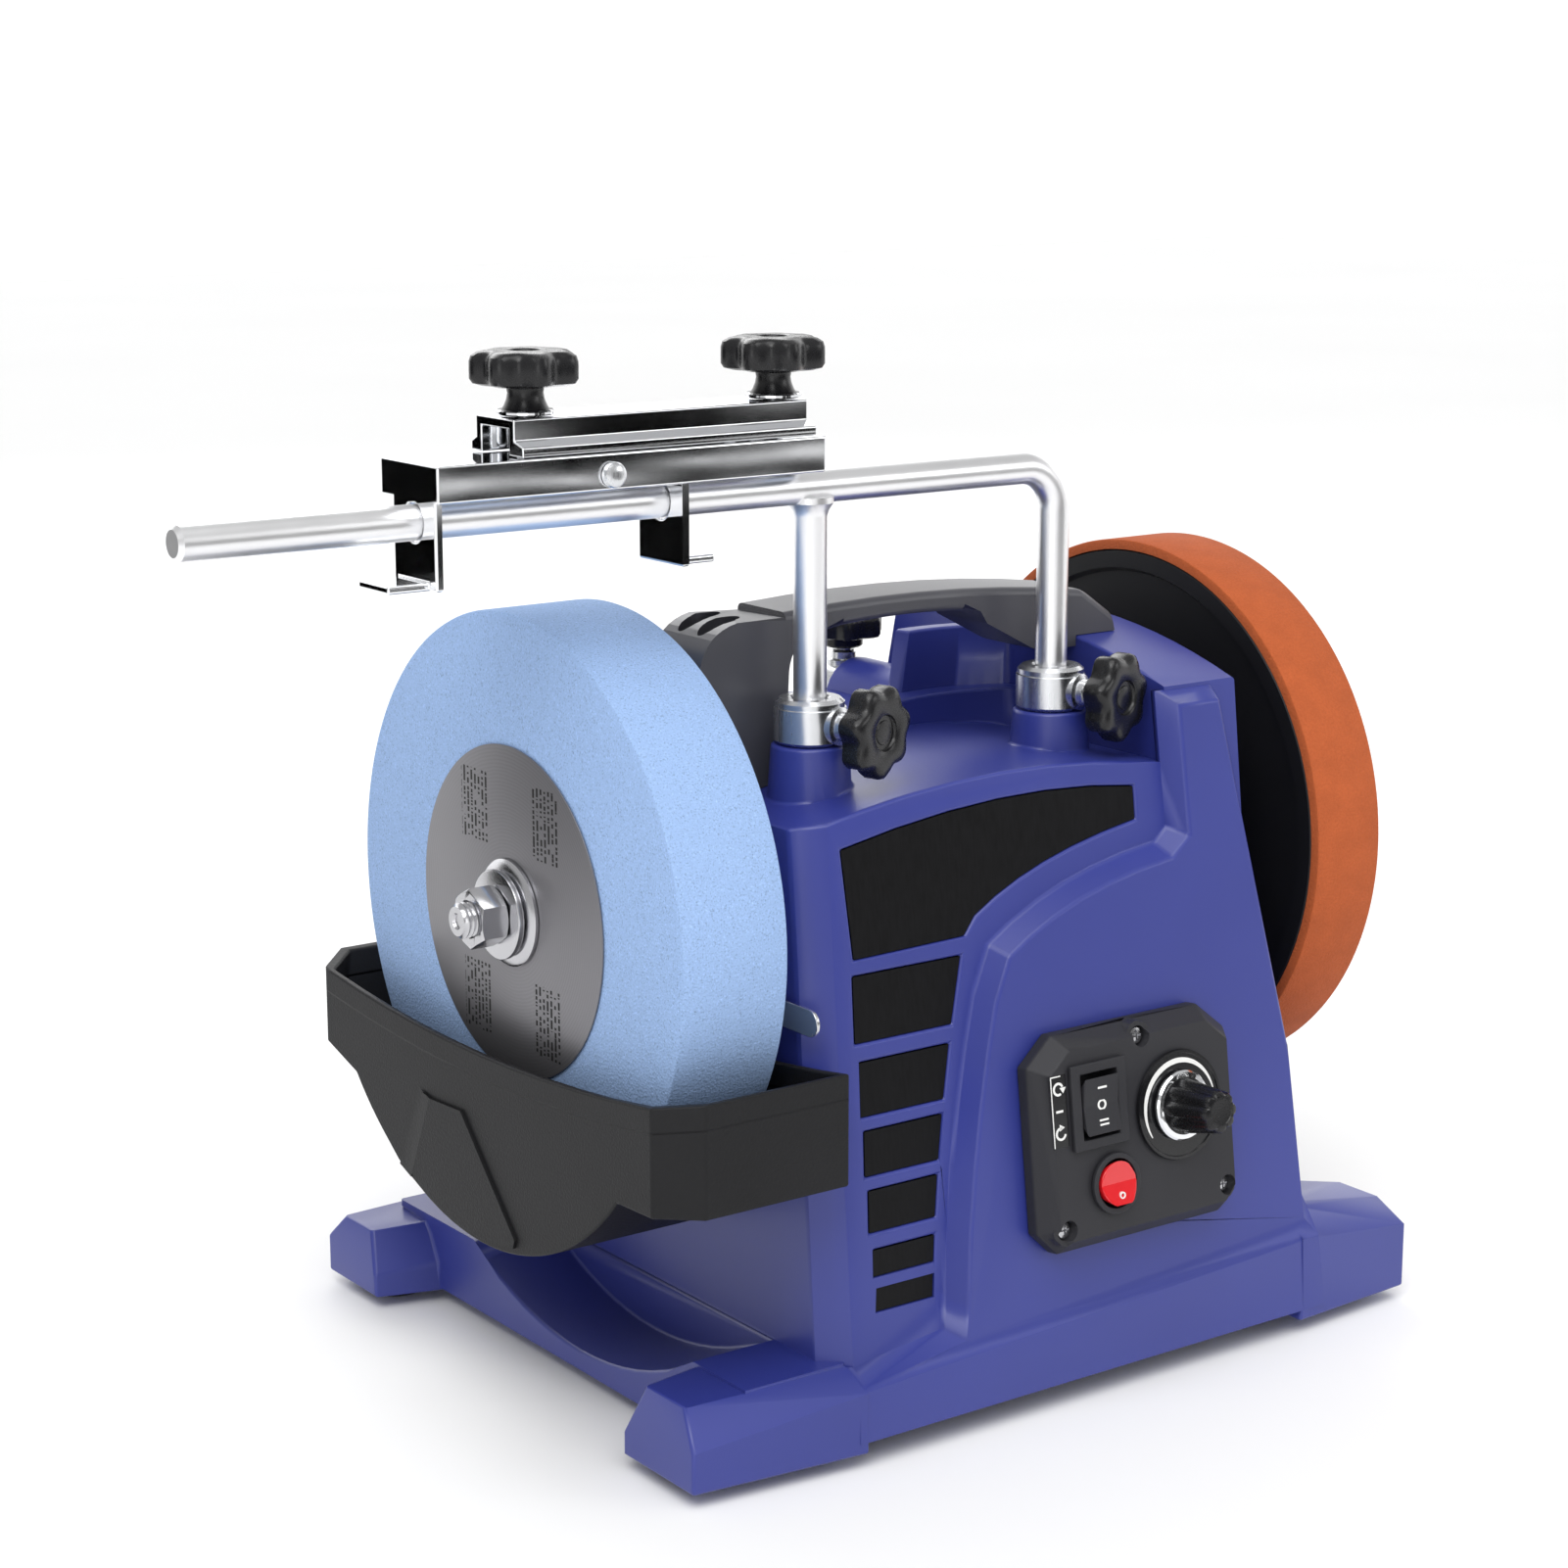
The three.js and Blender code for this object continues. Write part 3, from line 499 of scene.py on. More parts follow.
def trough_plastic(tone):
    """Coarse black plastic with a lip that follows the trough's dipping rim."""
    finish = Finish("trough_black", Specular_IOR_Level=0.22)
    _, across, up = finish.axes()
    half_length, rim_height, rim_rise = 125 * MM, 124 * MM, 10 * MM
    lip_height, lip_blend = 8.5 * MM, 0.7 * MM
    share = (across - (AXIS_Y + 10 * MM)) / half_length
    rim = rim_height + share * share * rim_rise
    lip = finish.node("Clamp", sockets={0: (up - (rim - lip_height)) / lip_blend})
    grains = finish.noise(0.9 * MM, 2.0)
    flow = finish.noise(40 * MM, 3.0)
    finish.set(
        Base_Color=finish.mix(flow, shade(tone, 0.75), shade(tone, 1.25)),
        Roughness=0.42 + grains * 0.14,
    )
    return finish.bump(lip + grains * 0.12, 0.9 * MM).material


def stone(tone, grit):
    """Open grit in a pale bond: light and dark specks with pits between them."""
    finish = Finish("grinding_stone", Specular_IOR_Level=0.25)
    cells = finish.node("TexVoronoi", sockets={"Vector": finish.spot, "Scale": 1 / grit})
    fleck = finish.noise(grit * 0.7, 2.0)
    cloud = finish.noise(30 * MM, 4.0)
    dark = finish.mix((fleck - 0.56) * 6, tone, shade(tone, 0.6))
    light = finish.mix((0.42 - fleck) * 5, dark, shade(tone, 1.35))
    damp = finish.mix(cloud * 0.35, light, shade(tone, 0.86))
    finish.set(Base_Color=damp, Roughness=0.9 + fleck * 0.1)
    return finish.bump(cells + fleck * 0.8, 0.25 * MM, 0.7).material


def leather(tone):
    """Oiled hide: mottled colour, fine suede nap, shallow creases and one skived seam."""
    finish = Finish("leather", Specular_IOR_Level=0.3)
    nap = finish.noise(0.8 * MM, 3.0)
    mottle = finish.noise(9 * MM, 5.0)
    crease = finish.node(
        "TexVoronoi", {"feature": "DISTANCE_TO_EDGE"},
        {"Vector": finish.spot, "Scale": 1 / (1.6 * MM)},
    )
    worn = finish.mix(mottle, shade(tone, 0.78), shade(tone, 1.22))
    finish.set(
        Base_Color=finish.mix(nap * 0.7, worn, shade(tone, 0.62)),
        Roughness=0.78 + nap * 0.16,
    )
    return finish.bump(nap + crease * 1.4, 0.22 * MM, 0.8).material


def foil(tone):
    """Turned foil with faint rings and four blocks of print-like dashes that spell nothing."""
    finish = Finish("label_foil", Metallic=0.65)
    _, across, up = finish.axes()
    across = across - AXIS_Y
    up = up - AXIS_Z
    centred = finish.node(
        "Mapping", sockets={"Vector": finish.spot, "Location": (0, -AXIS_Y, -AXIS_Z)},
    )
    rings = finish.node(
        "TexWave", {"wave_type": "RINGS", "rings_direction": "X"},
        {"Vector": centred, "Scale": 260.0, "Distortion": 1.5, "Detail": 2.0},
    )
    row_pitch, dash_length = 2.3 * MM, 1.1 * MM
    rows = across / row_pitch
    row = finish.node("Math", {"operation": "FLOOR"}, {0: rows})
    in_row = finish.node("Math", {"operation": "FRACT"}, {0: rows})
    key = finish.node("CombineXYZ", sockets={0: up / dash_length, 1: row * 7.3, 2: 0.0})
    dashes = finish.node("TexNoise", sockets={"Vector": key, "Scale": 1.0, "Detail": 0.0}) > 0.47
    columns = abs(abs(across) - 22 * MM) < 8.2 * MM
    blocks = abs(abs(up) - 33 * MM) < 12 * MM
    ink = dashes * (in_row < 0.5) * columns * blocks
    plain = finish.mix(rings, shade(tone, 0.93), shade(tone, 1.05))
    finish.set(
        Base_Color=finish.mix(ink, plain, (0.02, 0.02, 0.02)),
        Roughness=0.36 + rings * 0.06 + ink * 0.2,
    )
    return finish.bump(rings, 0.01 * MM).material


def brushed_field(tone):
    """The black name-plate field and slots: glossy, with fine upright lines."""
    finish = Finish("window_black", Specular_IOR_Level=0.16)
    lines = finish.noise(0.9 * MM, 2.0, (1, 1, 0.02))
    finish.set(
        Base_Color=finish.mix(lines, shade(tone, 0.1), shade(tone, 0.5)),
        Roughness=0.34 + lines * 0.16,
    )
    return finish.bump(lines, 0.015 * MM).material


MATERIALS = {}


def build_materials():
    """Every finish of the machine."""
    colours = bpy.context.scene.sharpener_colours
    MATERIALS.update({
        "housing": moulded("housing_blue", colours.housing, 0.36, 0.45, 0.012,
                           Coat_Weight=0.12, Coat_Roughness=0.25),
        # A lighter copy of the housing blue for the rounded edge faces: a painted highlight.
        "housing_edge": moulded("housing_blue_edge_highlight", colours.housing_edge, 0.3, 0.45, 0.008),
        "plastic": moulded("black_plastic", shade(colours.plastic, 0.5), 0.4, 0.4, 0.012,
                           Specular_IOR_Level=0.25),
        # The handle is the black plastic made five times lighter: a painted sheen for the top light it
        # reflects.
        "handle": moulded("handle_painted_sheen", shade(colours.plastic, 5.0), 0.34, 0.4, 0.012),
        "knob": moulded("knob_black", shade(colours.plastic, 0.5), 0.26, 0.6, 0.006,
                        Specular_IOR_Level=0.4),
        "panel": moulded("panel_black", colours.panel, 0.5, 0.35, 0.02, Specular_IOR_Level=0.3),
        "trough": trough_plastic(colours.trough),
        # The trough black made 3.2 times lighter for the rounded edge faces: a painted highlight.
        "trough_edge": moulded("trough_black_edge_highlight", shade(colours.trough, 3.2), 0.4, 0.6, 0.03),
        "gloss": moulded("gloss_black", shade(colours.plastic, 0.6), 0.16, 0.9, 0.002),
        "window": brushed_field(colours.plastic),
        "red": moulded("red_gloss", colours.red, 0.14, 1.5, 0.003,
                       Coat_Weight=0.6, Coat_Roughness=0.05, Subsurface_Weight=0.15,
                       Subsurface_Radius=(0.004, 0.001, 0.001)),
        "rubber": moulded("rubber", linear(20, 20, 20), 0.78, 0.7, 0.05),
        "print": moulded("white_print", (0.82, 0.82, 0.8), 0.5, 0.4, 0.004),
        "chrome": metal("chrome", (0.86, 0.87, 0.89), 0.07),
        "rod": metal("rod_chrome", (0.9, 0.9, 0.91), 0.3, (0.05, 1, 1)),
        "plated": metal("plated_steel", (0.7, 0.71, 0.73), 0.24, (1, 1, 0.08)),
        "bright": metal("bright_steel", (0.54, 0.54, 0.56), 0.2, (0.06, 1, 1)),
        "motor": moulded("motor_grey", linear(120, 123, 128), 0.4, 0.6, 0.02),
        "brass": metal("turned_brass", (0.72, 0.52, 0.24), 0.25, (0.06, 1, 1)),
        "board": moulded("board_green", linear(30, 92, 48), 0.3, 2, 0.05),
        "stone": stone(colours.stone, sizes().grit),
        "leather": leather(colours.leather),
        "label": foil(colours.label),
    })


# ---- housing
def build_housing():
    """The moulded shell, its edges rounded except around the lowest slot of the grille."""
    slot_share = (0.33, 0, 0.11)
    lowest_slot = Span("window_grille")
    for axis in (0, 2):
        lowest_slot.high[axis] = lowest_slot.low[axis] + slot_share[axis] * lowest_slot.size[axis]
    shell = refined("housing", "housing_shell", 0.05)
    piece = rounded(shell, sizes().housing_edge, 24, edge_material=1, apart=lowest_slot)
    # The rounded edge faces take the second finish, the painted highlight of the edges.
    place(coat(piece, "housing", "housing_edge"), "base", "housing")


def build_feet():
    """Moulded rubber pads with a rounded tread edge and a hollow under the middle."""
    for corner in ("front_left", "rear_left", "front_right", "rear_right"):
        pad = Span(f"foot_{corner}")
        reach = pad.size.x / 2
        profile = [
            (reach * 0.45, 0.9 * MM), (reach * 0.52, 0), (reach - 1.6 * MM, 0),
            (reach - 0.5 * MM, 0.5 * MM), (reach, 1.6 * MM), (reach, pad.size.z),
        ]
        spot = Matrix.Translation((pad.mid.x, pad.mid.y, 0))
        piece = turned(f"rubber_foot_{corner}", profile, spot, 48)
        place(coat(smooth(piece), "rubber"), "base", f"foot_{corner}")


def build_handle():
    """The carrying handle, with two drop-shaped recesses at its left bend."""
    piece = refined("carry_handle", "handle_bar")
    handle = Span("carry_handle")
    for share in (0.3, 0.7):
        bpy.ops.mesh.primitive_uv_sphere_add(segments=32, ring_count=16, radius=1)
        drop = named("drop")
        drop.scale = (9 * MM, 5 * MM, 7 * MM)
        y = handle.low.y + handle.size.y * share
        settle(drop, Matrix.Translation((handle.low.x + 14 * MM, y, handle.high.z - 7.5 * MM))
               @ Matrix.Rotation(math.radians(-20), 4, "Y"))
        boolean(piece, drop, "DIFFERENCE")
    rounded(piece, sizes().handle_edge, 26, segments=4, shortest=6 * MM)
    # The handle's finish is lightened black plastic, a painted sheen.
    coat(piece, "handle")
    place(piece, "base", "carry_handle")


# ---- tool support and its clamps
def build_support():
    """The bent rod, drawn up from its foot, turned over the bend and out along the bar."""
    rod = Span("tool_support")
    radius = rod.size.y / 2
    bend = 15 * MM
    leg_x = rod.high.x - radius
    bar_z = rod.high.z - radius
    chamfer = 1.4 * MM
    deselect()
    bpy.ops.mesh.primitive_circle_add(
        vertices=48, radius=radius - chamfer, fill_type="NGON",
        location=(leg_x, rod.mid.y, rod.low.z),
    )
    piece = named("support_rod")
    bpy.ops.object.transform_apply(location=True)
    edit(piece)
    grow = radius / (radius - chamfer)
    draw_out((0, 0, chamfer))
    bpy.ops.transform.resize(value=(grow, grow, 1), center_override=(leg_x, rod.mid.y, rod.low.z))
    rise = bar_z - bend - rod.low.z - chamfer
    draw_out((0, 0, rise))
    bpy.ops.mesh.spin(
        steps=20, angle=math.pi / 2, axis=(0, 1, 0),
        center=(leg_x - bend, rod.mid.y, bar_z - bend),
    )
    out = rod.low.x + chamfer - (leg_x - bend)
    draw_out((out, 0, 0))
    draw_out((-chamfer, 0, 0))
    shrink = 1 / grow
    bpy.ops.transform.resize(
        value=(1, shrink, shrink), center_override=(rod.low.x, rod.mid.y, bar_z),
    )
    leave()
    outward(piece)
    left_x = Span("support_sleeve_left").mid.x
    top = bar_z - rod.low.z
    weld = [
        (radius - chamfer, 0), (radius, chamfer), (radius, top - 9.5 * MM),
        (radius + 0.6 * MM, top - 7.5 * MM), (radius + 2.2 * MM, top - 5 * MM),
        (radius + 2.2 * MM, top - 3 * MM),
    ]
    leg = turned("left_leg", weld, Matrix.Translation((left_x, rod.mid.y, rod.low.z)), 48)
    boolean(piece, leg, "UNION")
    place(coat(smooth(piece, 30), "rod"), "support", "tool_support")


def sleeve(name, node, height, seat):
    """A plated sleeve, drawn on Z with chamfered ends and its clamp boss along -Y, on its seat."""
    radius, bore, step = 12 * MM, 6.1 * MM, 1.1 * MM
    profile = [
        (bore, 0), (radius - step, 0), (radius, step), (radius, height - 3.2 * MM),
        (radius - 0.5 * MM, height - 2.9 * MM), (radius - 0.5 * MM, height - 1.2 * MM),
        (radius - 1.9 * MM, height), (bore + 0.8 * MM, height), (bore, height - 0.8 * MM), (bore, 0),
    ]
    ring = turned(name, profile, sides=64)
    boss = turned(
        "boss", in_mm((6.3, 8.5), (6.3, 12.6), (4.9, 13.2), (4.9, 15.6), (4.2, 16.5)),
        along((0, 0, height / 2 - 1 * MM), (0, -1, 0)), 40,
    )
    boolean(ring, boss, "UNION")
    settle(smooth(ring, 35), seat)
    place(coat(ring, "plated"), "base", node)


def build_sleeves():
    """Two upright sleeves on the deck and two lying ones on the back."""
    for side in ("left", "right"):
        upright = Span(f"support_sleeve_{side}")
        knob = joint(f"support_knob_{side}_turn")
        turn = Vector((0, -1)).angle_signed(Vector(knob["axis"]).xy)
        seat = Matrix.Translation((upright.mid.x, knob["pos_m"][1], upright.low.z))
        seat = seat @ Matrix.Rotation(-turn, 4, "Z")
        sleeve(f"deck_sleeve_{side}", f"support_sleeve_{side}", upright.size.z, seat)
        lying = Span(f"rear_sleeve_{side}")
        knob = joint(f"rear_knob_{side}_turn")
        seat = Matrix.Translation((lying.mid.x, lying.low.y, knob["pos_m"][2]))
        seat = seat @ Matrix.Rotation(-math.pi / 2, 4, "X")
        sleeve(f"back_sleeve_{side}", f"rear_sleeve_{side}", lying.size.y, seat)


def lobed(piece, rim, hub, lobes, wave):
    """Draws the rim of a knob on Z out and in, so that it has rounded lobes."""
    for vertex in piece.data.vertices:
        reach = vertex.co.xy.length
        share = min(1.0, max(0.0, (reach - hub) / (rim - hub)))
        share = share * share * (3 - 2 * share)
        angle = math.atan2(vertex.co.y, vertex.co.x)
        scale = 1 + wave / rim * share * math.cos(lobes * angle)
        vertex.co.x *= scale
        vertex.co.y *= scale
    return piece


def clamp_knob(name):
    """A seven-lobed knob on Z from its stud to its dished face."""
    profile = in_mm(
        (2.6, 5.9), (3.0, 6.4), (3.0, 17.6), (6.6, 17.6), (7.4, 18.3), (7.5, 21.2), (8.6, 21.6),
        (12.6, 21.7), (13.8, 22.2), (14.4, 23.4), (14.4, 28.0), (14.0, 29.6), (12.9, 30.6),
        (11.2, 31.0), (6.6, 31.0), (6.1, 30.7), (5.9, 29.9), (5.6, 29.6), (4.1, 29.6),
        (3.9, 29.9), (2.2, 30.2),
    )
    piece = turned(name, profile, sides=112)
    lobed(piece, 14.4 * MM, 7.5 * MM, 7, 1.3 * MM)
    coat(piece, "knob", "bright")
    paint(piece, lambda middle: middle.z < 17.5 * MM)
    return smooth(piece, 38)


def build_clamp_knobs():
    """The four knobs that clamp the support's legs."""
    model = clamp_knob("knob_model")
    for node in ("support_knob_left", "support_knob_right", "rear_knob_left", "rear_knob_right"):
        turn = joint(f"{node}_turn")
        piece = copied(model, f"clamp_{node}")
        rod = Vector(turn["pos_m"])
        if node.startswith("rear"):
            rod.z = Span(node.replace("knob", "sleeve")).low.z + 12 * MM
        settle(piece, along(rod, turn["axis"]) @ Matrix.Rotation(math.radians(12), 4, "Z"))
        place(piece, node, node)
    take(model)
    bpy.ops.object.delete()


# ---- jig
def build_jig():
    """The bent channel that slides on the bar and the clamp bar on top of it."""
    edge = sizes().plate_edge
    body = rounded_copy("jig_body", "jig_channel", edge * 1.6, 30, "chrome", room=1.5)
    place(body, "jig", "jig_body")
    clamp = rounded_copy("jig_clamp_bar", "jig_clamp", edge, 30, "chrome")
    place(clamp, "jig_clamp", "jig_clamp_bar")
    screw = Span("jig_screw")
    head = turned(
        "jig_stop_screw", in_mm((4.0, 0), (4.0, 1.4), (3.6, 2.2), (2.6, 2.8), (1.0, 3.0)),
        along((screw.mid.x, screw.high.y, screw.mid.z), (0, -1, 0)), 48,
    )
    place(coat(smooth(head), "plated"), "jig", "jig_screw")


def build_jig_knobs():
    """The jig's two hand knobs, each on its washer, with a flared stem."""
    for side in ("left", "right"):
        node = f"jig_knob_{side}"
        turn = joint(f"{node}_turn")
        knob = Span(node)
        base = knob.high.z - 19.5 * MM
        stud = knob.low.z - base
        profile = [(2.6 * MM, stud), (3 * MM, stud + 0.5 * MM)] + in_mm(
            (3, 0), (8.4, 0), (9, 0.4), (9, 1.1), (8.4, 1.6), (7.4, 1.65), (6.7, 2.6), (5.9, 4.6),
            (5.5, 6.5), (5.8, 8), (7, 8.6), (12.6, 8.9), (14.6, 9.6), (15.4, 11), (15.4, 16.2),
            (14.9, 17.9), (13.4, 19), (11.4, 19.5), (5.4, 19.5), (4.9, 19.2), (4.6, 18.5), (1.5, 18.3),
        )
        piece = turned(f"jig_hand_knob_{side}", profile, sides=112)
        lobed(piece, 15.4 * MM, 7.2 * MM, 7, 1.6 * MM)
        coat(piece, "knob", "chrome")
        paint(piece, lambda middle: middle.z < 1.62 * MM)
        settle(piece, Matrix.Translation((turn["pos_m"][0], turn["pos_m"][1], base)))
        place(smooth(piece, 38), node, node)


# ---- wheels and spindle
HUB_BORE = 6.4 * MM


def spindle_piece(name, profile, finish, node, sides=96):
    """A round piece on the spindle."""
    piece = turned(name, profile, RIGHTWARDS, sides)
    place(coat(smooth(piece, 35), finish), "spindle_group", node)


def spindle_ring(node, name, edge, finish, sides=96, inner=HUB_BORE):
    """A ring on the spindle in the place of a CAD node, its outer edges rounded."""
    span = Span(node)
    low, high, outer = span.low.x, span.high.x, span.size.z / 2
    corner = edge * 0.3
    profile = [
        (inner, low), (outer - edge, low), (outer - corner, low + corner), (outer, low + edge),
        (outer, high - edge), (outer - corner, high - corner), (outer - edge, high),
        (inner, high), (inner, low),
    ]
    spindle_piece(name, profile, finish, node, sides)


def build_wheel():
    """The grinding wheel and its foil label."""
    spindle_ring("grinding_wheel", "grinding_stone_wheel", 1.4 * MM, "stone", 192)
    spindle_ring("wheel_label", "wheel_foil_label", 0.2 * MM, "label", 128)


def hexagon(name, low, high, across, bore):
    """A nut: a six-sided bar with both ends turned down and its bore cut."""
    nut = turned(name, [(across, low), (across, high)], RIGHTWARDS, 6)
    drop = 1.5 * MM
    cone = [(across - drop, low), (across + 0.1 * MM, low + 0.9 * MM),
            (across + 0.1 * MM, high - 0.9 * MM), (across - drop, high)]
    boolean(nut, turned("cone", cone, RIGHTWARDS, 64), "INTERSECT")
    hole = [(bore, low - MM), (bore, high + MM)]
    boolean(nut, turned("hole", hole, RIGHTWARDS, 40), "DIFFERENCE")
    return rounded(nut, 0.25 * MM, 30, segments=2)


def build_hub():
    """Flange, washer and nut on the threaded end of the spindle, and the flange behind."""
    flange = Span("outer_flange")
    low, high = flange.low.x, flange.high.x
    profile = [
        (HUB_BORE, low), (13 * MM, low), (15 * MM, low + 0.7 * MM), (17 * MM, low + 1.1 * MM),
        (18 * MM, low + 2 * MM), (18 * MM, high), (HUB_BORE, high), (HUB_BORE, low),
    ]
    spindle_piece("clamp_flange", profile, "bright", "outer_flange")
    spindle_ring("wheel_washer", "spring_washer", 0.5 * MM, "bright")
    nut = Span("wheel_nut")
    piece = hexagon("hexagon_nut", nut.low.x, nut.high.x, nut.size.z / 2, 6.3 * MM)
    place(coat(piece, "bright"), "spindle_group", "wheel_nut")
    spindle_ring("inner_flange", "back_flange", 1.2 * MM, "plastic")
    build_threads()


def build_threads():
    """The spindle with a thread on both ends, long on the left and short on the right."""
    left, right = SPINDLE.low.x, SPINDLE.high.x
    radius, pitch = 6 * MM, sizes().thread_pitch
    root = radius - 0.75 * MM
    start, end = left + 0.8 * MM, right - 0.8 * MM
    left_turns, right_turns = 13, 9
    profile = [(2.2 * MM, left + 0.9 * MM), (2.8 * MM, left), (root - 0.3 * MM, left)]
    for turn in range(left_turns):
        begin = start + turn * pitch
        profile += [(root, begin), (radius, begin + 0.4 * pitch), (radius, begin + 0.55 * pitch)]
    profile += [(root, start + left_turns * pitch), (radius, start + (left_turns + 0.5) * pitch)]
    for turn in range(right_turns, 0, -1):
        begin = end - turn * pitch
        profile += [(radius, begin), (root, begin + 0.45 * pitch), (radius, begin + 0.9 * pitch)]
    profile += [(root, end), (root - 0.4 * MM, right)]
    spindle_piece("threaded_spindle", profile, "bright", "spindle", 48)


def build_honing():
    """The honing wheel: a recessed disc, its leather band, nut and spacer."""
    disc = Span("honing_wheel")
    low, high, rim = disc.low.x, disc.high.x, disc.size.z / 2
    web = 2.2 * MM
    profile = [
        (HUB_BORE, low), (20 * MM, low), (21.5 * MM, low + web), (rim - 8 * MM, low + web),
        (rim - 6.5 * MM, low), (rim - 0.5 * MM, low), (rim, low + 0.5 * MM), (rim, high - 0.5 * MM),
        (rim - 0.5 * MM, high), (rim - 6.5 * MM, high), (rim - 8 * MM, high - 2 * web),
        (25 * MM, high - 2 * web), (23 * MM, high), (HUB_BORE, high), (HUB_BORE, low),
    ]
    spindle_piece("honing_disc", profile, "plastic", "honing_wheel", 192)
    spindle_ring("honing_band", "leather_band", 0.9 * MM, "leather", 192, rim + 0.3 * MM)
    nut = Span("honing_nut")
    low, high, reach = nut.low.x, nut.high.x, nut.size.z / 2
    profile = [
        (HUB_BORE, low), (reach - 1.2 * MM, low), (reach, low + 1.2 * MM),
        (reach, high - 3.5 * MM), (reach - 1.4 * MM, high - 1 * MM),
        (reach - 3 * MM, high), (HUB_BORE, high), (HUB_BORE, low),
    ]
    piece = turned("honing_hand_nut", profile, sides=112)
    lobed(piece, reach, reach - 3.2 * MM, 8, 0.5 * MM)
    settle(piece, RIGHTWARDS)
    place(coat(smooth(piece, 38), "knob"), "spindle_group", "honing_nut")
    spindle_ring("honing_spacer", "honing_spacer_tube", 0.6 * MM, "bright")


# ---- controls
def on_panel(x, out, z):
    """A point of the control box: x and z from the dial's middle, out from the raised panel."""
    return PANEL @ Vector((x * MM, -out * MM, z * MM))


def panel_solid(name, corners, low, high):
    """A thin solid on the control box from one height to another."""
    start = [on_panel(x, low, z) for x, z in corners]
    sweep = on_panel(0, high, 0) - on_panel(0, low, 0)
    return drawn(name, start, sweep)


def arc(x, z, outer, inner, start, end, steps=20):
    """The outline of a ring's part, its angles in degrees from the right, counter-clockwise."""
    def at(radius, share):
        angle = math.radians(start + (end - start) * share / steps)
        return (x + radius * math.cos(angle), z + radius * math.sin(angle))
    outside = [at(outer, share) for share in range(steps + 1)]
    inside = [at(inner, share) for share in range(steps, -1, -1)]
    return outside + inside


def bar(x0, x1, z0, z1):
    return [(x0, z0), (x1, z0), (x1, z1), (x0, z1)]


def marks(name, outlines, low, high):
    """Printed marks: thin white solids on a surface of the control box."""
    parts = [
        panel_solid(f"{name}_{index}", outline, low, high) for index, outline in enumerate(outlines)
    ]
    return coat(joined(*parts), "print")


# The control box from the dial's middle, in millimetres.
OUTWARDS = along((0, 0, 0), (0, -1, 0))
BOX_FACE = 12.0
ROCKER_X = (-47.5, -23.5)
ROCKER_Z = (-7.7, 21.3)
POWER_SPOT = (-30.2, -21.2)
SCREW_SPOTS = ((-14.0, 25.8), (-51.0, -33.7), (21.0, -32.2))


def build_control_box():
    """The box with the strip of turning-direction marks beside its switch."""
    box = rounded_copy("control_box", "control_box_shell", 0.7 * MM, 24, "panel")
    x = ROCKER_X[0] - 4.4
    top, bottom = 14.5, -0.5
    middle = (top + bottom) / 2
    strip = [
        bar(x - 3.2, x - 2.8, bottom - 4.5, top + 4.5),
        bar(x - 2.8, x + 1.2, top + 4.1, top + 4.5),
        arc(x, top, 2.3, 1.5, 20, 300),
        bar(x - 1.5, x + 1.5, middle - 0.4, middle + 0.4),
        arc(x, bottom, 2.3, 1.5, 70, 350),
        [(x + 0.6, top + 0.4), (x + 3.3, top + 0.4), (x + 2.0, top - 1.6)],
        [(x - 0.4, bottom + 3.2), (x - 0.4, bottom + 0.9), (x + 1.7, bottom + 2.0)],
    ]
    sunk = BOX_FACE - 0.1
    field = bar(x - 3.4, x + 3.4, bottom - 4.7, top + 4.7)
    back = coat(panel_solid("strip_back", field, sunk, BOX_FACE + 0.06), "gloss")
    joined(box, back, marks("direction_marks", strip, sunk, BOX_FACE + 0.14))
    place(box, "base", "control_box")


def build_screws():
    """Countersunk screws deep in the box's three corners."""
    for index, (x, z) in enumerate(SCREW_SPOTS):
        profile = in_mm((1.6, -3.0), (1.6, 7.2), (3.2, 7.4), (3.2, 8.5), (2.7, 9.1), (1.4, 9.4))
        piece = turned("screw", profile, OUTWARDS, 32)
        settle(piece, PANEL @ Matrix.Translation((x * MM, 0, z * MM)))
        for slot in (bar(x - 2, x + 2, z - 0.35, z + 0.35), bar(x - 0.35, x + 0.35, z - 2, z + 2)):
            boolean(piece, panel_solid("cross", slot, 8.4, 10.5), "DIFFERENCE")
        piece.name = f"box_screw_{index + 1}"
        coat(smooth(piece, 35), "bright")
        place(piece, "base", f"control_screw_{index + 1}")


def build_switches():
    """The direction switch with its three-position rocker and the round power switch."""
    rim = rounded_copy("direction_switch_frame", "direction_frame", 0.45 * MM, 26, "panel")
    place(rim, "base", "direction_switch_frame")
    rocker = rounded_copy(
        "direction_rocker", "direction_rocker_cap", 0.6 * MM, 8, "panel", segments=4,
    )
    x = sum(ROCKER_X) / 2
    middle = sum(ROCKER_Z) / 2
    signs = (
        (bar(x - 1.9, x + 1.9, middle + 5.6, middle + 6.3), 15.35),
        (arc(x, middle, 1.9, 1.15, 0, 359.5, 28), 14.6),
        (bar(x - 1.9, x + 1.9, middle - 5.4, middle - 4.8), 15.3),
        (bar(x - 1.9, x + 1.9, middle - 6.9, middle - 6.3), 15.4),
    )
    for index, (sign, height) in enumerate(signs):
        joined(rocker, marks(f"rocker_mark_{index}", [sign], height - 1, height))
    place(rocker, "direction_rocker", "direction_rocker")
    bezel = rounded_copy("power_switch_bezel", "power_bezel", 0.4 * MM, 30, "panel")
    place(bezel, "base", "power_switch_bezel")
    power = rounded_copy("power_rocker", "power_rocker_cap", 0.6 * MM, 20, "red", segments=4)
    x, z = POWER_SPOT
    joined(power, marks("power_mark", [arc(x, z - 3.8, 1.2, 0.75, 0, 359.5, 24)], 15.2, 16.1))
    place(power, "power_rocker", "power_rocker")


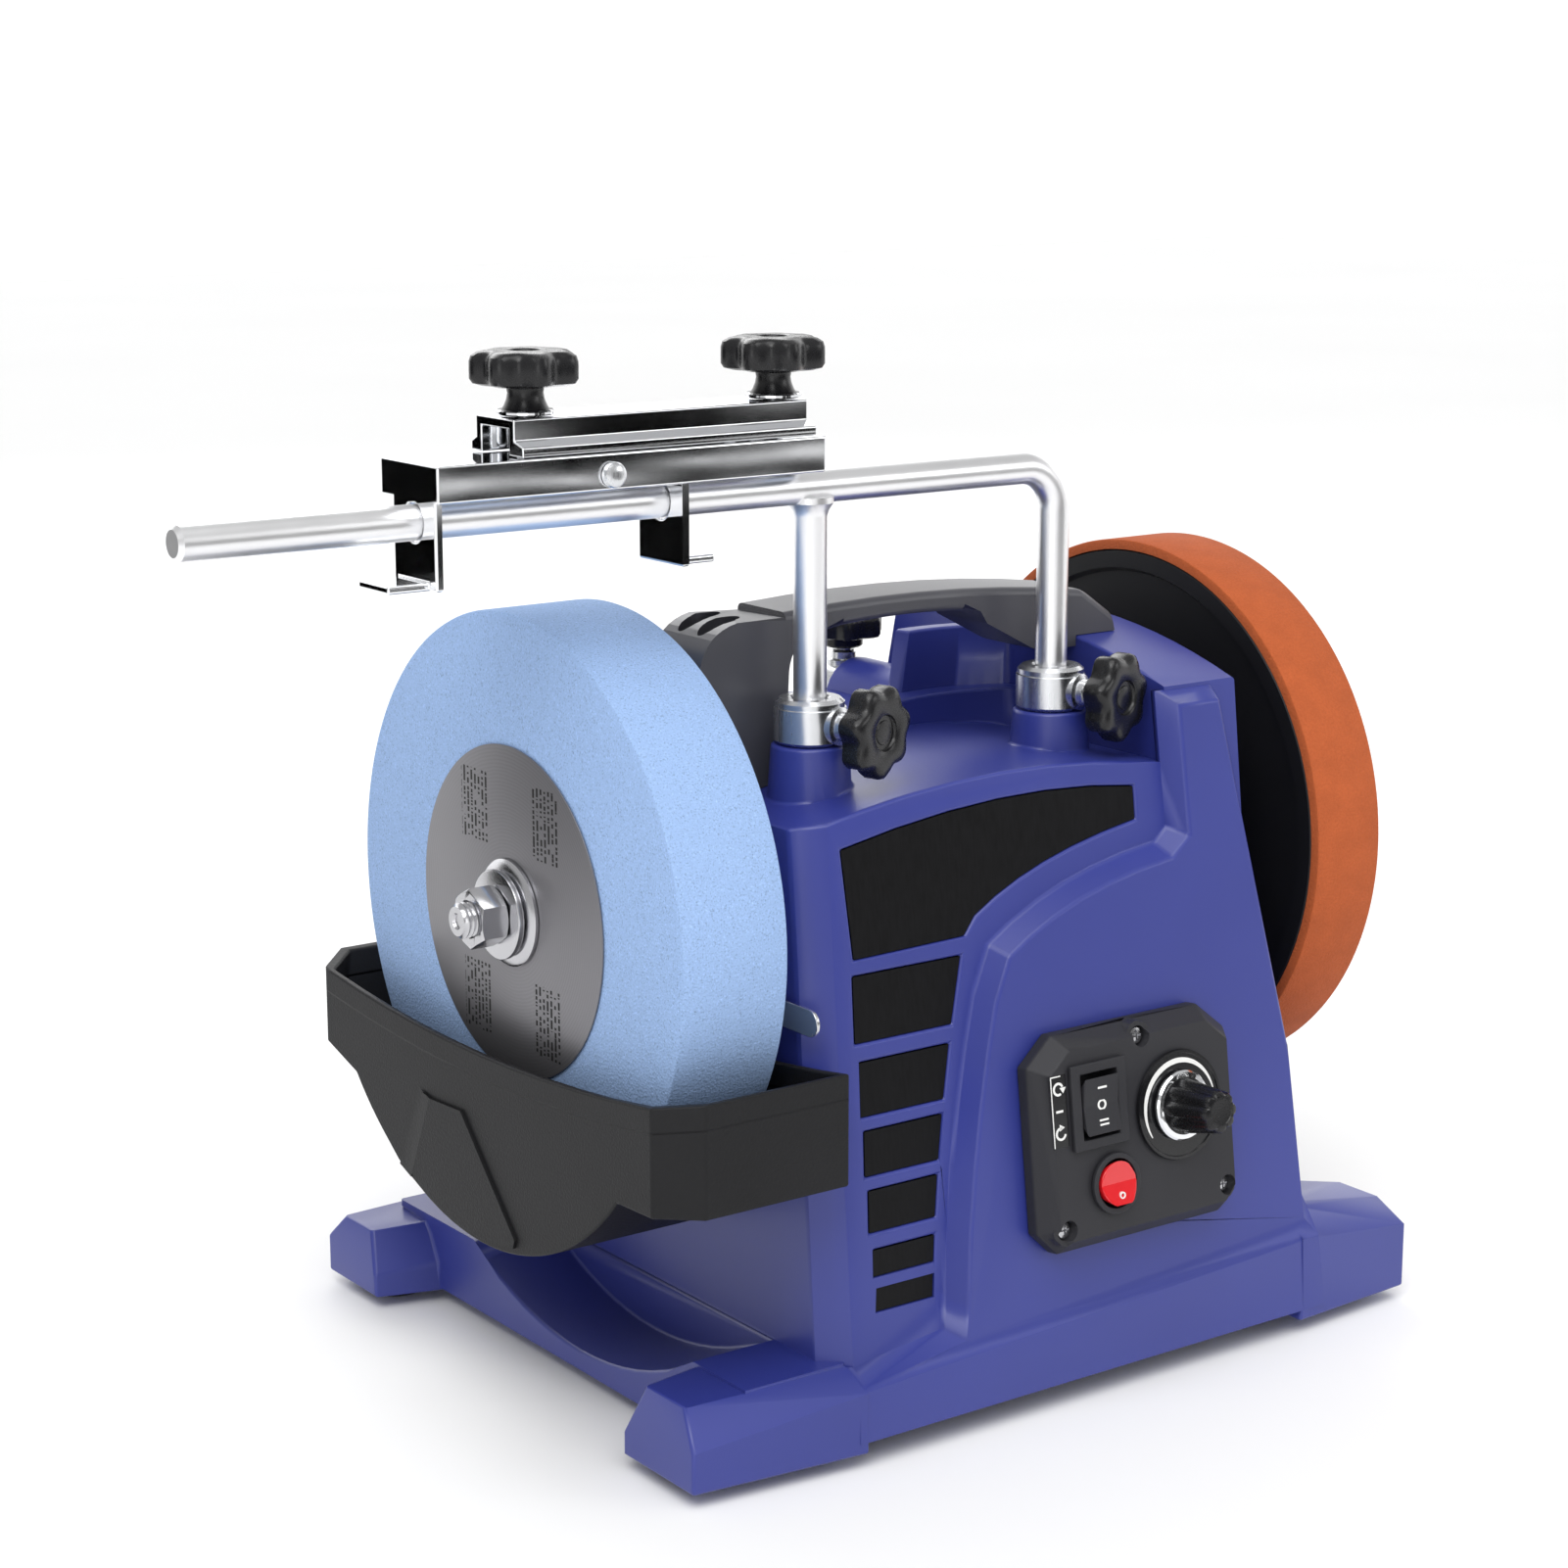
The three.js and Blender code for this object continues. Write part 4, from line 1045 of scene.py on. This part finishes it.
def widening_scale(reach, start, sweep, steps=40):
    """The outline of the dial's scale, thin at both ends and wide in the middle."""
    def at(share, width):
        angle = math.radians(start - sweep * share / steps)
        return ((reach - width) * math.cos(angle), (reach - width) * math.sin(angle))
    outside = [at(share, 0) for share in range(steps + 1)]
    inside = [
        at(share, 0.35 + 1.5 * math.sin(math.pi * share / steps) ** 0.8)
        for share in range(steps, -1, -1)
    ]
    return outside + inside


def build_dial():
    """The dial plate with its widening white scale, and the fluted knob on a bright skirt."""
    reach = Span("dial_plate").size.x / 2
    low = BOX_FACE * MM + 0.3 * MM
    hole = 4.6 * MM
    outwards = PANEL @ OUTWARDS
    disc = turned("dial_disc", [
        (hole, low), (reach - 0.3 * MM, low), (reach, low + 0.5 * MM),
        (reach - 0.3 * MM, low + 1.4 * MM), (reach - 1.2 * MM, low + 1.4 * MM),
        (reach - 1.6 * MM, low + 0.9 * MM), (hole, low + 0.9 * MM), (hole, low),
    ], outwards)
    coat(smooth(disc, 30), "gloss")
    scale = widening_scale(16.1, 215, 205)
    joined(disc, marks("dial_scale", [scale], BOX_FACE + 1.1, BOX_FACE + 1.34))
    place(disc, "base", "dial_plate")
    profile = in_mm(
        (3.0, 1.0), (3.0, 13.9), (11.6, 13.9), (12.0, 14.3), (12.0, 15.2), (11.4, 15.9), (9.9, 16.1),
        (9.5, 16.3), (9.4, 17.0), (8.7, 22.0), (7.6, 31.0), (7.4, 32.6), (6.8, 33.6), (5.6, 34.0),
        (4.6, 34.0), (4.3, 33.7), (1.5, 33.6),
    )
    knob = turned("speed_dial_knob", profile, sides=120)
    flutes, flute_depth = 8, 0.13
    for vertex in knob.data.vertices:
        if 16.2 * MM < vertex.co.z < 33.7 * MM and vertex.co.xy.length > 5.2 * MM:
            angle = math.atan2(vertex.co.y, vertex.co.x)
            share = 1 - flute_depth * (0.5 - 0.5 * math.cos(flutes * angle)) ** 2
            vertex.co.x *= share
            vertex.co.y *= share
    coat(knob, "knob", "chrome")
    paint(knob, lambda middle: 13 * MM < middle.z < 16.2 * MM)
    settle(knob, outwards)
    place(smooth(knob, 30), "speed_knob", "speed_knob")


def build_inlet():
    """The mains inlet on the back with its three flat pins."""
    piece = rounded_copy("power_inlet", "mains_inlet", 0.5 * MM, 30, "plastic")
    inlet = Span("power_inlet")
    for x, z in ((-7, -2), (7, -2), (0, 3.5)):
        low = inlet.low.y + 2.5 * MM
        px, pz = inlet.mid.x + x * MM, inlet.mid.z + z * MM
        corners = [(px - MM, low, pz - 2 * MM), (px + MM, low, pz - 2 * MM),
                   (px + MM, low, pz + 2 * MM), (px - MM, low, pz + 2 * MM)]
        pin = rounded(drawn("pin", corners, (0, 6 * MM, 0)), 0.25 * MM, 30, segments=2)
        joined(piece, coat(pin, "brass"))
    place(piece, "base", "power_inlet")


# ---- trough and latch
def build_trough():
    """The thin-walled trough with a raised field on its outer side and a lip under its rim."""
    trough = Span("water_trough")
    piece = refined("water_trough", "trough_shell")
    skin = trough.low.x
    proud = 1.1 * MM

    def at(y, z, out=0.0):
        """A point of the outer side, y and z in millimetres from the spindle's axis."""
        return Vector((skin - out, AXIS_Y + y * MM, AXIS_Z + z * MM))

    corners = [(30.4, -69.3), (9.8, -68.3), (-23.9, -104)]
    inside = (AXIS_Z - trough.low.z) / MM - 2.5
    for angle in range(258, 292, 5):
        turn = math.radians(angle)
        corners.append((inside * math.cos(turn), inside * math.sin(turn)))
    corners.append((44.3, -99.6))
    boolean(piece, drawn("field", [at(y, z, -MM) for y, z in corners], (-MM - proud, 0, 0)), "UNION")
    wedge = [at(40, -67.4), at(30.4, -69.3, proud), at(30, -69.4, -MM), at(40, -67.6, -MM)]
    boolean(piece, drawn("strip", wedge, at(54, -99.2) - at(40, -67.4)), "UNION")
    rounded(piece, sizes().trough_edge, 26, edge_material=1)
    # The rounded edge faces take the lighter second finish, a painted highlight of the rim and edges.
    place(coat(piece, "trough", "trough_edge"), "trough", "water_trough")


def build_latch():
    """The swinging strip that holds the trough, and its screw."""
    strip = rounded_copy("trough_latch", "latch_strip", 0.3 * MM, 30, "plated", segments=2)
    place(strip, "trough_latch", "trough_latch")
    screw = Span("latch_screw")
    profile = in_mm((1.2, 0), (3, 0.1), (3.8, 0.7), (4, 1.5), (4, 2.1), (2, 2.1))
    profile.append((2 * MM, screw.size.x))
    pivot = along((screw.low.x, screw.mid.y, screw.mid.z), (1, 0, 0))
    piece = turned("latch_pivot_screw", profile, pivot, 40)
    place(coat(smooth(piece, 35), "bright"), "base", "latch_screw")


# ---- the CAD nodes that stay
KEPT = {
    "window_grille": "window", "bottom_plate": "plastic",
    "drive_wheel": "plastic", "drive_tyre": "rubber", "drive_roller": "brass",
    "spindle_bearing_left": "bright", "spindle_bearing_right": "bright",
    "bearing_holder_left": "plastic", "bearing_holder_right": "plastic",
    "motor_casing": "motor", "motor_shaft": "bright", "motor_cradle": "motor",
    "speed_potentiometer": "motor", "control_board": "board",
}


def build_kept():
    """Finishes of the nodes that are shown as they are."""
    for node, finish in KEPT.items():
        coat(frame["nodes"][node], finish)


# ---- stage
HEART = (0, 0, 0.15)

# Each area light: where it stands, its size and its power.
LIGHTS = {
    "key": ((-1.3, -1.2, 1.9), 1.0, 10),
    "side": ((1.5, -1.7, 0.9), 1.0, 7),
    "low": ((-1.5, -1.5, 0.45), 0.8, 3),
    "rim": ((0.6, 1.7, 1.5), 1.2, 12),
}

# Each dark card: where it stands, what it faces, its width and height, and how streaked it is.
CARDS = {
    "card_front": ((0.36, -0.95, 0.2), (-0.14, -0.05, 0.2), 1.0, 0.5, 1.0),
    "card_left": ((-0.85, 0.72, 0.2), (-0.14, -0.05, 0.2), 0.7, 0.6, 0.0),
    "card_back": ((0.72, 1.1, 0.67), (-0.14, -0.05, 0.33), 0.9, 0.2, 1.0),
}


def sheet(name, spot, width, height, turn, finish, size=1):
    """A flat card, floor or wall of the stage."""
    deselect()
    bpy.ops.mesh.primitive_plane_add(size=size, location=spot)
    piece = named(name)
    piece.scale = (width, height, 1)
    piece.rotation_euler = turn
    piece.data.materials.append(finish.material)
    return piece


def facing(spot, target, front):
    """The turn that points an object's front from its spot at a target."""
    return (Vector(target) - Vector(spot)).to_track_quat(front, "Y").to_euler()


def dark_card(name, spot, target, width, height, streaked):
    """A streaked dark card that only shows as a reflection in bright metal."""
    finish = Finish(
        f"{name}_black", Base_Color=(0, 0, 0), Roughness=1.0, Specular_IOR_Level=0.0,
        Emission_Strength=1.0,
    )
    streaks = finish.noise(0.16, 3.0, (0.5, 3, 1))
    glow = (streaks - 0.53) * 22
    finish.set(Emission_Color=finish.mix(glow * streaked, (0, 0, 0), (0.95, 0.95, 0.95)))
    card = sheet(name, spot, width, height, facing(spot, target, "Z"), finish)
    for sight in ("camera", "diffuse", "shadow", "transmission"):
        setattr(card, f"visible_{sight}", False)


def build_stage():
    """A pale floor, pale surroundings, soft lights, dark cards and the camera."""
    scene = bpy.context.scene
    finish = Finish("floor_pale", Roughness=0.7, Specular_IOR_Level=0.2)
    cloud = finish.noise(0.8, 2.0)
    finish.set(Base_Color=finish.mix(cloud, (0.88, 0.88, 0.88), (0.92, 0.92, 0.92)))
    sheet("floor", (0, 0, 0), 1, 1, (0, 0, 0), finish, size=12)
    white = Finish("backdrop_white", Emission_Color=(1, 1, 1), Emission_Strength=1.0)
    upright = (math.radians(90), 0, math.radians(-36))
    sheet("backdrop", (6, 8, 0), 60, 16, upright, white).visible_diffuse = False
    world = bpy.data.worlds.new("pale_room")
    world.use_nodes = True
    sky = world.node_tree.nodes["Background"].inputs
    sky["Color"].default_value = (1, 1, 1, 1)
    sky["Strength"].default_value = 0.55
    scene.world = world
    bpy.ops.object.light_add(type="SUN", location=(0, 0, 3))
    sun = bpy.context.active_object
    sun.name = "sky"
    sun.data.energy = 1.7
    sun.data.angle = math.radians(55)
    sun.rotation_euler = (math.radians(22), math.radians(-16), 0)
    for name, (spot, size, power) in LIGHTS.items():
        bpy.ops.object.light_add(type="AREA", location=spot)
        light = bpy.context.active_object
        light.name = name
        light.data.size = size
        light.data.energy = power
        light.rotation_euler = facing(spot, HEART, "-Z")
    for name, measures in CARDS.items():
        dark_card(name, *measures)
    scene.view_settings.view_transform = "Standard"
    bpy.ops.object.camera_add(location=(-0.62046, -0.88279, 0.43819))
    camera = bpy.context.active_object
    camera.rotation_euler = (math.radians(77.6795), 0, math.radians(-35.923))
    camera.data.lens = 74.02
    camera.data.sensor_width = 36
    scene.camera = camera


# ---- operators and panel
def operator(work):
    """The operator of one builder, with its name and its text."""
    def execute(self, context):
        work()
        return {"FINISHED"}
    name = work.__name__.removeprefix("build_")
    return type(
        f"SHARPENER_OT_{name}", (bpy.types.Operator,),
        {
            "bl_idname": f"sharpener.{name}", "bl_label": name.replace("_", " ").title(),
            "__doc__": work.__doc__, "execute": execute,
        },
    )


OPERATORS = [operator(work) for work in (
    build_stage, build_materials, build_kept, build_housing, build_feet, build_handle,
    build_support, build_sleeves, build_clamp_knobs, build_jig, build_jig_knobs, build_wheel,
    build_hub, build_honing, build_control_box, build_screws, build_switches, build_dial,
    build_inlet, build_trough, build_latch,
)]


class SHARPENER_PT_panel(bpy.types.Panel):
    """Every part of the sharpener, in the order they are built."""

    bl_label = "Sharpener"
    bl_idname = "SHARPENER_PT_panel"
    bl_space_type = "VIEW_3D"
    bl_region_type = "UI"
    bl_category = "Sharpener"

    def draw(self, context):
        for group in (context.scene.sharpener_sizes, context.scene.sharpener_colours):
            for key in group.__annotations__:
                self.layout.prop(group, key)
        for one in OPERATORS:
            self.layout.operator(one.bl_idname)


CLASSES = [SharpenerSizes, SharpenerColours, *OPERATORS, SHARPENER_PT_panel]


def register():
    for one in CLASSES:
        bpy.utils.register_class(one)
    bpy.types.Scene.sharpener_sizes = bpy.props.PointerProperty(type=SharpenerSizes)
    bpy.types.Scene.sharpener_colours = bpy.props.PointerProperty(type=SharpenerColours)


def unregister():
    del bpy.types.Scene.sharpener_colours
    del bpy.types.Scene.sharpener_sizes
    for one in reversed(CLASSES):
        bpy.utils.unregister_class(one)


def main():
    register()
    for one in OPERATORS:
        getattr(bpy.ops.sharpener, one.bl_idname.split(".")[1])()
    deselect()


if __name__ == "__main__":
    main()
